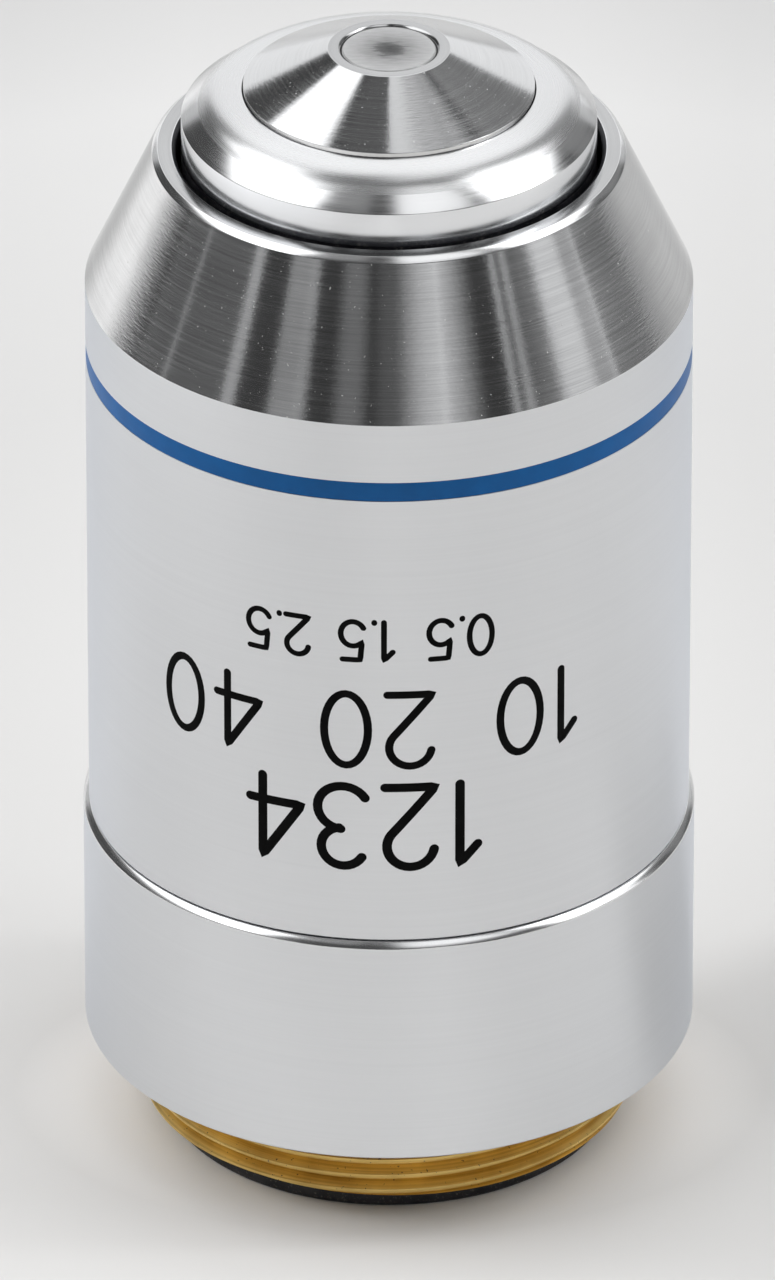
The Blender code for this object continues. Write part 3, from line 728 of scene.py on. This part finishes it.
def makeOuterSleeve():
    size = outerSleeve
    box = boxOf("outer_sleeve")
    foot = box["bottom"]
    coneFoot = foot + size["cylinder"]
    coneTop = coneFoot + size["coneHeight"]
    grooveFoot, grooveTop = grooveSpan()
    rim = box["top"]
    outline = [
        (size["bore"], foot),
        (size["radius"] - size["footEdge"], foot),
        (size["radius"], foot + size["footEdge"]),
        (size["radius"], grooveFoot),
        (size["radius"] - size["grooveDepth"], grooveFoot),
        (size["radius"] - size["grooveDepth"], grooveTop),
        (size["radius"], grooveTop),
        (size["radius"], coneFoot),
        (size["rimRadius"], coneTop),
        (size["landRadius"], rim),
        (size["landBore"], rim),
        (size["rimBore"], rim - size["rimChamfer"]),
        (size["rimBore"], rim - size["rimDepth"]),
        (size["innerCone"], rim - size["rimDepth"]),
        (size["bore"], coneFoot),
    ]
    piece = turnPiece("outerSleeve", outline, edge=0.02 * mm)

    def onCone(radius, height, outward, up):
        least, most = size["coneUp"]
        return outward > size["coneOutward"] and least < up < most and height > coneFoot - margin

    def onRim(radius, height, outward, up):
        return height > coneTop - 2 * margin and radius > size["rimBore"] - size["slack"]

    # painted shade: the rim's bore and inner chamfer are painted black for the dark gap round the nose
    def inGapPaintedShade(radius, height, outward, up):
        return height > rim - size["rimDepth"] - size["slack"] and outward < -size["gapInward"]

    def onLand(radius, height, outward, up):
        return up > size["landUp"] and height > rim - margin

    paintFaces(piece, [(finishes["turnedCone"], onCone), (finishes["blackMetalAndPaintedShade"], inGapPaintedShade),
                       (finishes["dullRim"], onLand), (finishes["polishedEdge"], onRim),
                       (finishes["satinChrome"], anywhere)])
    handOver(piece, "housing", "satin_chrome", "outer_sleeve")


# Colour band: enamel that fills the groove, a hair below the metal and lower still at its edges

colourBand = {
    "bedGap": 0.03 * mm,
    "sideGap": 0.01 * mm,
    "sink": 0.015 * mm,
    "edgeSink": 0.02 * mm,
    "edgeWidth": 0.1 * mm,
}


def makeColourBand():
    size = colourBand
    grooveFoot, grooveTop = grooveSpan()
    outside = outerSleeve["radius"]
    bed = outside - outerSleeve["grooveDepth"] + size["bedGap"]
    outline = [
        (bed, grooveFoot + size["sideGap"]),
        (outside - size["edgeSink"], grooveFoot + size["sideGap"]),
        (outside - size["sink"], grooveFoot + size["edgeWidth"]),
        (outside - size["sink"], grooveTop - size["edgeWidth"]),
        (outside - size["edgeSink"], grooveTop - size["sideGap"]),
        (bed, grooveTop - size["sideGap"]),
    ]
    piece = turnPiece("colourBand", outline, edge=0)
    piece.data.materials.append(finishes["blueEnamel"])
    handOver(piece, "housing", "blue_enamel", "colour_band")


# Lens barrel: the sliding nose with its crowned front ring

lensBarrel = {
    "noseRadius": 8.36 * mm,
    "slidingRadius": 8.86 * mm,
    "bore": 7.36 * mm,
    "frontBore": 5.91 * mm,
    "lip": 1.9 * mm,
    "chamferWidth": 0.68 * mm,
    "chamferHeight": 0.53 * mm,
    "crownDrop": 0.72 * mm,
    "crownSlope": 0.5,
    "crownCurl": 4,
    "crownSteps": 15,
    "stepBelowGuideTop": 2.45 * mm,
    "grooveWidth": 1.4 * mm,
    "grooveDepth": 0.95 * mm,
    "brightBelowRim": 0.08 * mm,
    "slack": 0.05 * mm,
    "crownUp": 0.1,
    "chamferUp": 0.2,
    "wallOutward": 0.5,
}


# The crown falls as a straight slope at first and curls over towards the chamfer
def crownPoints(size, face):
    run = size["noseRadius"] - size["chamferWidth"] - size["frontBore"]
    points = []
    for index in range(1, size["crownSteps"] + 1):
        share = index / size["crownSteps"]
        fall = size["crownSlope"] * share + (1 - size["crownSlope"]) * share ** size["crownCurl"]
        points.append((size["frontBore"] + run * share, face - size["crownDrop"] * fall))
    return points


def makeLensBarrel():
    size = lensBarrel
    box = boxOf("lens_barrel")
    step = boxOf("mount_body")["top"] - size["stepBelowGuideTop"]
    face = box["top"]
    sleeveTop = boxOf("outer_sleeve")["top"]
    chamferTop = face - size["crownDrop"]
    chamferFoot = chamferTop - size["chamferHeight"]
    outline = [
        (size["frontBore"], face - size["lip"]),
        (size["frontBore"], face),
        *crownPoints(size, face),
        (size["noseRadius"], chamferFoot),
        (size["noseRadius"], sleeveTop - size["brightBelowRim"]),
        (size["noseRadius"], step),
        (size["slidingRadius"], step),
        (size["slidingRadius"], box["bottom"]),
        (size["bore"], box["bottom"]),
        (size["bore"], face - size["lip"]),
    ]
    piece = turnPiece("lensBarrel", outline, edge=0.02 * mm)
    screwHeight, _ = spanOf(boxOf("guide_screw"))
    groove = (size["grooveWidth"], 2 * size["grooveDepth"], noseTravel + size["grooveWidth"])
    cutWith(piece, boxCutter(groove, (0, -size["slidingRadius"], screwHeight + noseTravel / 2)))

    def onCrown(radius, height, outward, up):
        inside = radius < size["noseRadius"] - size["chamferWidth"]
        return inside and up > size["crownUp"] and height > chamferTop - margin

    def onChamfer(radius, height, outward, up):
        return up > size["chamferUp"] and height > chamferFoot - size["slack"]

    def onWall(radius, height, outward, up):
        return height > sleeveTop - size["brightBelowRim"] and outward > size["wallOutward"]

    # painted shade: the nose wall below the rim, down to its step, is painted black for the dark gap
    def inGapPaintedShade(radius, height, outward, up):
        return height > step and outward > size["wallOutward"]

    paintFaces(piece, [(finishes["crownSatin"], onCrown), (finishes["polishedEdge"], onChamfer),
                       (finishes["noseSatin"], onWall), (finishes["blackMetalAndPaintedShade"], inGapPaintedShade),
                       (finishes["springSteel"], anywhere)])
    handOver(piece, "nose", "bright_chrome", "lens_barrel")


# Front cell: the bright cone round the front lens

frontCell = {
    "lensBore": 1.95 * mm,
    "innerChamfer": 0.09 * mm,
    "rimWidth": 0.5 * mm,
    "coneRadius": 5.86 * mm,
    "coneFoot": 0.18 * mm,
    "coneHeight": 1.64 * mm,
    "flangeRadius": 7.31 * mm,
    "cavity": 4.3 * mm,
    "seat": 1.2 * mm,
    "lip": 1.9 * mm,
    "lipGap": 0.05 * mm,
    "tipZone": 0.8 * mm,
    "slack": 0.05 * mm,
    "coneUp": 0.3,
    "coneOutward": 0.2,
}


def makeFrontCell():
    size = frontCell
    box = boxOf("front_cell")
    rim = box["top"]
    coneBase = rim - size["coneHeight"]
    lipUnder = coneBase - size["coneFoot"] - size["lip"]
    outline = [
        (size["lensBore"], rim - size["innerChamfer"]),
        (size["lensBore"] + size["innerChamfer"], rim),
        (size["lensBore"] + size["rimWidth"], rim),
        (size["coneRadius"], coneBase),
        (size["coneRadius"], lipUnder - size["lipGap"]),
        (size["flangeRadius"], lipUnder - size["lipGap"]),
        (size["flangeRadius"], box["bottom"]),
        (size["cavity"], box["bottom"]),
        (size["cavity"], lipUnder),
        (size["lensBore"], rim - size["seat"]),
    ]
    piece = turnPiece("frontCell", outline, edge=0.02 * mm)

    def onCone(radius, height, outward, up):
        slanted = up > size["coneUp"] and outward > size["coneOutward"]
        return slanted and height > coneBase - size["slack"]

    def onTip(radius, height, outward, up):
        return height > rim - size["tipZone"]

    paintFaces(piece, [(finishes["frontSteel"], onCone), (finishes["dullRim"], onTip),
                       (finishes["frontSteel"], anywhere)])
    handOver(piece, "nose", "bright_chrome", "front_cell")


# Front lens: flat outside, domed inside

frontLens = {
    "bevel": 0.06 * mm,
    "edgeDepth": 0.9 * mm,
    "dome": 1.45 * mm,
    "domeSteps": 12,
    "segments": 96,
}


def makeFrontLens():
    size = frontLens
    box = boxOf("front_lens")
    radius, top = box["radius"], box["top"]
    outline = [(radius - size["bevel"], top), (radius, top - size["bevel"])]
    for index in range(size["domeSteps"]):
        angle = math.radians(90 * index / size["domeSteps"])
        outline.append((radius * math.cos(angle), top - size["edgeDepth"] - size["dome"] * math.sin(angle)))
    piece = turnPiece("frontLens", outline, segments=size["segments"], edge=0, ring=False)
    piece.data.materials.append(finishes["wipedGlass"])
    handOver(piece, "nose", "glass", "front_lens")


# Return spring: round wire, one closed coil at each end

returnSpring = {
    "wire": 0.35 * mm,
    "meanRadius": 8.22 * mm,
    "activeCoils": 5,
    "closedGap": 0.06 * mm,
    "pointsPerCoil": 40,
}


def makeReturnSpring():
    size = returnSpring
    box = boxOf("return_spring")
    foot = box["bottom"]
    _, length = spanOf(box)
    closedRise = 2 * size["wire"] + size["closedGap"]
    openRise = (length - 2 * size["wire"] - 2 * closedRise) / size["activeCoils"]
    coils = size["activeCoils"] + 2
    count = coils * size["pointsPerCoil"]
    deselectAll()
    bpy.ops.curve.primitive_nurbs_path_add()
    piece = bpy.context.object
    piece.name = "returnSpring"
    piece.data.splines.clear()
    wire = piece.data.splines.new("POLY")
    wire.points.add(count)
    for index, point in enumerate(wire.points):
        turn = index / size["pointsPerCoil"]
        first = min(turn, 1.0)
        last = max(turn - 1.0 - size["activeCoils"], 0.0)
        height = foot + size["wire"] + (first + last) * closedRise + (turn - first - last) * openRise
        angle = 2 * math.pi * turn
        point.co = (size["meanRadius"] * math.cos(angle), size["meanRadius"] * math.sin(angle), height, 1)
    piece.data.bevel_depth = size["wire"]
    piece.data.bevel_resolution = tubeResolution
    piece.data.use_fill_caps = True
    makeOnly(piece)
    bpy.ops.object.convert(target="MESH")
    piece = bpy.context.object
    settle(piece)
    closeMesh()
    piece.data.materials.clear()
    piece.data.materials.append(finishes["springSteel"])
    handOver(piece, "housing", "spring_steel", "return_spring")
    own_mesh(piece)


# Plain numbers in black paint, as if engraved with one round cutter and filled.
# Each digit is drawn in a box one high, with its foot at zero.

def arc(centreX, centreY, radiusX, radiusY, start, end, steps=16):
    points = []
    for index in range(steps + 1):
        angle = math.radians(start + (end - start) * index / steps)
        points.append((centreX + radiusX * math.cos(angle), centreY + radiusY * math.sin(angle)))
    return points


digitStrokes = {
    "0": [arc(0.3, 0.5, 0.27, 0.5, 90, 450, 36)],
    "1": [[(0.12, 0.78), (0.32, 1.0), (0.32, 0.0)]],
    "2": [arc(0.3, 0.74, 0.26, 0.26, 170, -35, 20) + [(0.03, 0.0), (0.58, 0.0)]],
    "3": [arc(0.28, 0.76, 0.24, 0.24, 150, -80, 20), arc(0.28, 0.27, 0.28, 0.27, 85, -150, 22)],
    "4": [[(0.45, 0.0), (0.45, 1.0), (0.0, 0.3), (0.6, 0.3)]],
    "5": [[(0.53, 1.0), (0.12, 1.0), (0.08, 0.52)] + arc(0.29, 0.32, 0.28, 0.32, 130, -150, 24)],
    ".": [[(0.0, 0.0), (0.0, 0.02)]],
}
digitWidths = {"0": 0.6, "1": 0.4, "2": 0.6, "3": 0.58, "4": 0.62, "5": 0.58, ".": 0.06, " ": 0.42}

numberRows = {
    "upperNumbers": {"text": "1234", "height": 3.7 * mm, "stroke": 0.2 * mm, "gap": 0.6 * mm,
                     "baseline": 17.35 * mm, "centre": -0.9 * mm},
    "middleNumbers": {"text": "10 20 40", "height": 3.3 * mm, "stroke": 0.17 * mm, "gap": 0.62 * mm,
                      "baseline": 21.65 * mm, "centre": -0.8 * mm},
    "lowerNumbers": {"text": "0.5 1.5 2.5", "height": 1.75 * mm, "stroke": 0.12 * mm, "gap": 0.25 * mm,
                     "baseline": 25.0 * mm, "centre": -0.8 * mm},
}
paintHeight = 0.012 * mm
capAngles = (88, 70, 50, 30, 12)  # steps round a stroke's end, from its tip inwards
strokeStep = 0.8  # length of a step along a stroke, in half widths


# One stroke: a tube with round ends, or a closed ring of tube
def addStroke(points, halfWidth):
    closed = math.dist(points[0], points[-1]) < weld
    if closed:
        path = [(x, y, 1.0) for x, y in points[:-1]]
    else:
        path = taperedPath(points, halfWidth)
    deselectAll()
    bpy.ops.curve.primitive_nurbs_path_add()
    stroke = bpy.context.object
    stroke.data.splines.clear()
    line = stroke.data.splines.new("POLY")
    line.points.add(len(path) - 1)
    for point, (x, y, thickness) in zip(line.points, path):
        point.co = (x, y, 0, 1)
        point.radius = thickness
    line.use_cyclic_u = closed
    stroke.data.bevel_depth = halfWidth
    stroke.data.bevel_resolution = tubeResolution
    makeOnly(stroke)
    bpy.ops.object.convert(target="MESH")
    return bpy.context.object


# Splits long runs and rounds both ends: each point is x, y and its share of the full thickness
def taperedPath(points, halfWidth):
    dense = [points[0]]
    for end in points[1:]:
        start = dense[-1]
        steps = max(1, int(math.dist(start, end) / (strokeStep * halfWidth)))
        for index in range(1, steps + 1):
            share = index / steps
            dense.append((start[0] + (end[0] - start[0]) * share, start[1] + (end[1] - start[1]) * share))
    startCap = roundCap(dense[0], dense[1], halfWidth)
    endCap = roundCap(dense[-1], dense[-2], halfWidth)
    return startCap + [(x, y, 1.0) for x, y in dense] + endCap[::-1]


def roundCap(tip, inner, halfWidth):
    run = math.dist(tip, inner)
    awayX, awayY = (tip[0] - inner[0]) / run, (tip[1] - inner[1]) / run
    cap = []
    for angle in map(math.radians, capAngles):
        reach = halfWidth * math.sin(angle)
        cap.append((tip[0] + awayX * reach, tip[1] + awayY * reach, math.cos(angle)))
    return cap


# Draws a row of numbers flat, as one piece that starts at zero, and tells its width
def drawNumbers(row):
    height, gap = row["height"], row["gap"] / row["height"]
    cursor = 0.0
    strokes = []
    for mark in row["text"]:
        for points in digitStrokes.get(mark, []):
            placed = [((cursor + x) * height, y * height) for x, y in points]
            strokes.append(addStroke(placed, row["stroke"]))
        cursor += digitWidths[mark] + gap
    deselectAll()
    for stroke in strokes:
        stroke.select_set(True)
    bpy.context.view_layer.objects.active = strokes[0]
    bpy.ops.object.join()
    closeMesh()
    return bpy.context.object, (cursor - gap) * height


# Lays a row of numbers round the sleeve, upside down as the objective stands
def makeNumberRow(name, row):
    piece, width = drawNumbers(row)
    piece.name = name
    radius = outerSleeve["radius"]
    baseline = shoulderZ + row["baseline"]
    for point in piece.data.vertices:
        angle = (row["centre"] + width / 2 - point.co.x) / radius
        proud = radius + point.co.z / row["stroke"] * paintHeight
        point.co = (proud * math.sin(angle), -proud * math.cos(angle), baseline - point.co.y)
    makeOnly(piece)
    editAll()
    bpy.ops.mesh.normals_make_consistent(inside=False)
    bpy.ops.object.mode_set(mode="OBJECT")
    piece.data.materials.clear()
    piece.data.materials.append(finishes["engravingBlack"])
    handOver(piece, "housing", "black_metal")


# Lens stack and the other inner pieces keep their solids

innerFinishes = {
    "blackMetalAndPaintedShade": ["barrel_stop_ring", "meniscus_spacer", "doublet_spacer", "aperture_disc",
                   "retaining_ring"],
    "bareBrass": ["meniscus_cell", "doublet_cell", "triplet_cell", "rear_doublet_cell"],
    "springSteel": ["guide_screw"],
    "opticalGlass": ["meniscus_lens", "doublet_flint", "doublet_crown", "triplet_front", "triplet_middle",
                     "triplet_rear", "rear_crown", "rear_flint"],
}


def finishInnerPieces():
    for finish, nodes in innerFinishes.items():
        for name in nodes:
            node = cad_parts[name]
            for slot in node.material_slots:
                slot.material = finishes[finish]
    print("inner pieces finished")


# Floor and room. Azimuth 0 is the camera's side, and it grows towards +X.

floorLook = {
    "size": 6.0,
    "roughness": 0.6,
    "gloss": 0.2,
    "near": (0.745, 0.735, 0.72),
    "far": (0.6, 0.597, 0.593),
    "left": (0.95, 0.945, 0.94),
    "farSpan": {"From Min": -30 * mm, "From Max": 120 * mm},
    "leftSpan": {"From Min": -60 * mm, "From Max": -140 * mm},
    "poolMiddle": 35 * mm,
    "poolReach": 300 * mm,
    "pool": [(0.09, 0.92), (0.17, 1.0), (0.24, 0.84), (0.36, 0.84), (0.55, 1.0)],
    # painted light round the foot, an oval that reaches further at the sides, lifts the floor's contact
    # shadow
    "footStretch": (1, 1.35, 0),
    "foot": {"From Min": 9.0 * mm, "From Max": 15.5 * mm, "To Min": 1.42, "To Max": 1.0},
    # painted shade: the floor darkens towards both sides and towards the front
    "paintedShadeRamps": [
        (0, {"From Min": -9 * mm, "From Max": -17 * mm, "To Min": 1.0, "To Max": 0.95}),
        (0, {"From Min": -24 * mm, "From Max": -40 * mm, "To Min": 1.0, "To Max": 0.95}),
        (0, {"From Min": 8 * mm, "From Max": 16 * mm, "To Min": 1.0, "To Max": 0.94}),
        (1, {"From Min": -36 * mm, "From Max": -62 * mm, "To Min": 1.0, "To Max": 0.97}),
    ],
    # a painted fan of shadow beside the foot, which draws a dark streak on the right of the base ring
    "paintedSideShadow": {"azimuth": 104, "half": 21, "soft": 8, "middle": 30 * mm, "reach": 12 * mm,
                  "edge": 8 * mm, "depth": 0.26},
}

room = {
    "tint": (0.99, 1.0, 1.015),
    "aboveHorizon": 0.045,
    "belowHorizon": 0.7,
    "horizonSoft": 1,
    "strength": 1.27,
}

# Soft boxes and lit walls: centre azimuth and half width, lower and upper edge in degrees
roomWindows = [
    {"azimuth": 179.5, "half": 27, "low": -10, "high": 40, "bright": 0.78, "soft": 1.2},
    {"azimuth": 180, "half": 32, "low": 38, "high": 67, "bright": 0.97, "soft": 3},
    {"azimuth": -94, "half": 40.5, "low": 34, "high": 66, "bright": 1.45, "soft": 2.5},
    {"azimuth": -135.5, "half": 6.6, "low": 43.5, "high": 66.5, "bright": 1.5, "soft": 2},
    {"azimuth": 98, "half": 26.5, "low": 32, "high": 66, "bright": 1.45, "soft": 2.5},
    {"azimuth": 91, "half": 4, "low": 36, "high": 60, "bright": 7, "soft": 2.5},
    {"azimuth": 98, "half": 9, "low": 10, "high": 34, "bright": 0.9, "soft": 3},
    {"azimuth": 34, "half": 28, "low": 52, "high": 78, "bright": 0.87, "soft": 5},
    {"azimuth": 160, "half": 20, "low": 66, "high": 86, "bright": 0.7, "soft": 1.5},
    {"azimuth": 137, "half": 10, "low": 62, "high": 77, "bright": 0.45, "soft": 7},
    {"azimuth": 139, "half": 16, "low": 8, "high": 56, "bright": 0.17, "soft": 4},
    {"azimuth": -40, "half": 24, "low": 58, "high": 80, "bright": 0.22, "soft": 4},
    {"azimuth": -152, "half": 8, "low": 1, "high": 15, "bright": 0.45, "soft": 2},
    {"azimuth": 152, "half": 8, "low": 1, "high": 15, "bright": 0.45, "soft": 2},
    {"azimuth": 0, "half": 200, "low": 70, "high": 100, "bright": 0.09, "soft": 6},
]

# Narrow lights low in front, which draw the streaks down the sleeve's cone
lowLights = [
    {"azimuth": -82, "half": 22, "bright": 0.11, "soft": 3},
    {"azimuth": -88.5, "half": 0.8, "bright": 0.32},
    {"azimuth": -61, "half": 2.6, "bright": 0.4},
    {"azimuth": -38.5, "half": 7, "bright": 0.28, "soft": 1},
    {"azimuth": -34, "half": 2.5, "bright": 0.33},
    {"azimuth": -15, "half": 6, "bright": 0.175, "soft": 4},
    {"azimuth": 3, "half": 9, "bright": 0.1, "soft": 5},
    {"azimuth": 19, "half": 11, "bright": 0.57, "soft": 11},
    {"azimuth": 21, "half": 0.9, "bright": 0.75},
    {"azimuth": 47.8, "half": 1.2, "bright": 0.52},
    {"azimuth": 53.2, "half": 1.6, "bright": 0.43},
    {"azimuth": 74, "half": 8.5, "bright": 0.7, "soft": 4.5},
    {"azimuth": 86, "half": 5, "bright": 0.4, "soft": 3},
    {"azimuth": 89.5, "half": 0.8, "bright": 0.6},
    {"azimuth": 85, "half": 30, "bright": 0.2, "soft": 10},
]
lowLightSpan = {"low": -1, "high": 32}
lowLightSoft = {"share": 0.25, "most": 1.2}  # soft edge: a share of the half width, at most 1.2 degrees


# The floor's tone with painted light and shade: darker further back, paler far to the left, with a soft
# painted pool of light behind the object
def floorTone(tree, look, where, axes):
    far = mapped(tree, axes[1], look["farSpan"])
    tone = mixed(tree, far, (*look["near"], 1), (*look["far"], 1))
    tone = mixed(tree, mapped(tree, axes[0], look["leftSpan"]), tone, (*look["left"], 1))
    away = vectorCalc(tree, "DISTANCE", where, (0, look["poolMiddle"], 0))
    pool = ramp(tree, calc(tree, "DIVIDE", away, look["poolReach"]), look["pool"])
    return vectorCalc(tree, "MULTIPLY", tone, pool)


# Painted light and shade on the floor: painted light round the foot against its contact shadow, painted
# shade towards its edges and a painted fan of shadow
def paintedFloorLight(tree, look, where, axes):
    oval = vectorCalc(tree, "MULTIPLY", where, look["footStretch"])
    factor = mapped(tree, vectorCalc(tree, "LENGTH", oval), look["foot"])
    for axis, span in look["paintedShadeRamps"]:
        factor = calc(tree, "MULTIPLY", factor, mapped(tree, axes[axis], span))
    side = look["paintedSideShadow"]
    reach = withinSpan(tree, vectorCalc(tree, "LENGTH", where), side["middle"], side["reach"], side["edge"])
    fan = calc(tree, "MULTIPLY", withinTurn(tree, where, side), reach)
    kept = calc(tree, "SUBTRACT", 1.0, calc(tree, "MULTIPLY", fan, side["depth"]))
    return calc(tree, "MULTIPLY", factor, kept)


def addFloor():
    look = floorLook
    deselectAll()
    bpy.ops.mesh.primitive_plane_add(size=look["size"], location=(0, 0, 0))
    floor = bpy.context.object
    floor.name = "floor"
    finish, tree, shader = startFinish("paleFloor", 0.0, look["roughness"])
    shader.inputs["Specular IOR Level"].default_value = look["gloss"]
    where, axes, _ = placeOnPiece(tree)
    shade = addNode(tree, "VectorMath", {0: floorTone(tree, look, where, axes),
                                         "Scale": paintedFloorLight(tree, look, where, axes)}, operation="SCALE")
    tree.links.new(shade.outputs[0], shader.inputs["Base Color"])
    floor.data.materials.append(finish)


# Lamps that light the floor and aren't mirrored in the metal
floorLamps = [
    {"azimuth": 0, "rise": 90, "distance": 900 * mm, "size": 1100 * mm, "watts": 4.65},
    {"azimuth": -104, "rise": 20, "distance": 600 * mm, "size": 260 * mm, "watts": 1.5},
    {"azimuth": 84, "rise": 20, "distance": 600 * mm, "size": 260 * mm, "watts": 0.45},
]


def addFloorLamps():
    for look in floorLamps:
        rise = math.radians(look["rise"])
        away = directionTo(look["azimuth"]) * math.cos(rise) + Vector((0, 0, math.sin(rise)))
        bpy.ops.object.light_add(type="AREA", location=away * look["distance"])
        lamp = bpy.context.object
        lamp.rotation_euler = away.to_track_quat("Z", "Y").to_euler()
        lamp.data.shape = "SQUARE"
        lamp.data.size = look["size"]
        lamp.data.energy = look["watts"]
        lamp.visible_glossy = False


def directionTo(azimuth):
    turn = math.radians(azimuth)
    return Vector((math.sin(turn), -math.cos(turn), 0))


# 1 inside a span and 0 outside it, with soft edges
def withinSpan(tree, value, middle, half, soft):
    away = calc(tree, "ABSOLUTE", calc(tree, "SUBTRACT", value, middle))
    span = {"From Min": half + soft, "From Max": max(half - soft, 0)}
    return mapped(tree, away, span, interpolation_type="SMOOTHSTEP")


# The same for the azimuth of a direction, or of a place on the floor
def withinTurn(tree, way, look):
    ahead = vectorCalc(tree, "DOT_PRODUCT", way, directionTo(look["azimuth"]))
    aside = vectorCalc(tree, "DOT_PRODUCT", way, directionTo(look["azimuth"] + 90))
    turn = calc(tree, "DEGREES", calc(tree, "ARCTAN2", aside, ahead))
    return withinSpan(tree, turn, 0, look["half"], look["soft"])


def windowLight(tree, way, rise, window):
    across = withinTurn(tree, way, window)
    middle = (window["low"] + window["high"]) / 2
    upwards = withinSpan(tree, rise, middle, window["high"] - middle, window["soft"])
    return calc(tree, "MULTIPLY", calc(tree, "MULTIPLY", across, upwards), window["bright"])


def addRoom():
    world = bpy.data.worlds.new("room")
    bpy.context.scene.world = world
    world.use_nodes = True
    tree = world.node_tree
    way = addNode(tree, "TexCoord").outputs["Generated"]
    height = addNode(tree, "SeparateXYZ", {0: way}).outputs[2]
    rise = calc(tree, "DEGREES", calc(tree, "ARCSINE", height))
    light = mapped(tree, rise, {"From Min": -room["horizonSoft"], "From Max": room["horizonSoft"],
                                "To Min": room["belowHorizon"], "To Max": room["aboveHorizon"]})
    for window in roomWindows:
        light = calc(tree, "MAXIMUM", light, windowLight(tree, way, rise, window))
    for window in lowLights:
        soft = min(lowLightSoft["share"] * window["half"], lowLightSoft["most"])
        narrow = {**lowLightSpan, "soft": soft, **window}
        light = calc(tree, "MAXIMUM", light, windowLight(tree, way, rise, narrow))
    background = tree.nodes["Background"]
    background.inputs["Color"].default_value = (*room["tint"], 1)
    tree.links.new(calc(tree, "MULTIPLY", light, room["strength"]), background.inputs["Strength"])


addCamera()
addFloor()
addRoom()
addFloorLamps()
print("floor and room placed")
makeMountBody()
makeMountingThread()
makeStopRing()
makeOuterSleeve()
makeColourBand()
for name, row in numberRows.items():
    makeNumberRow(name, row)
makeLensBarrel()
makeFrontCell()
makeFrontLens()
makeReturnSpring()
finishInnerPieces()

bpy.context.scene.view_settings.view_transform = "Standard"
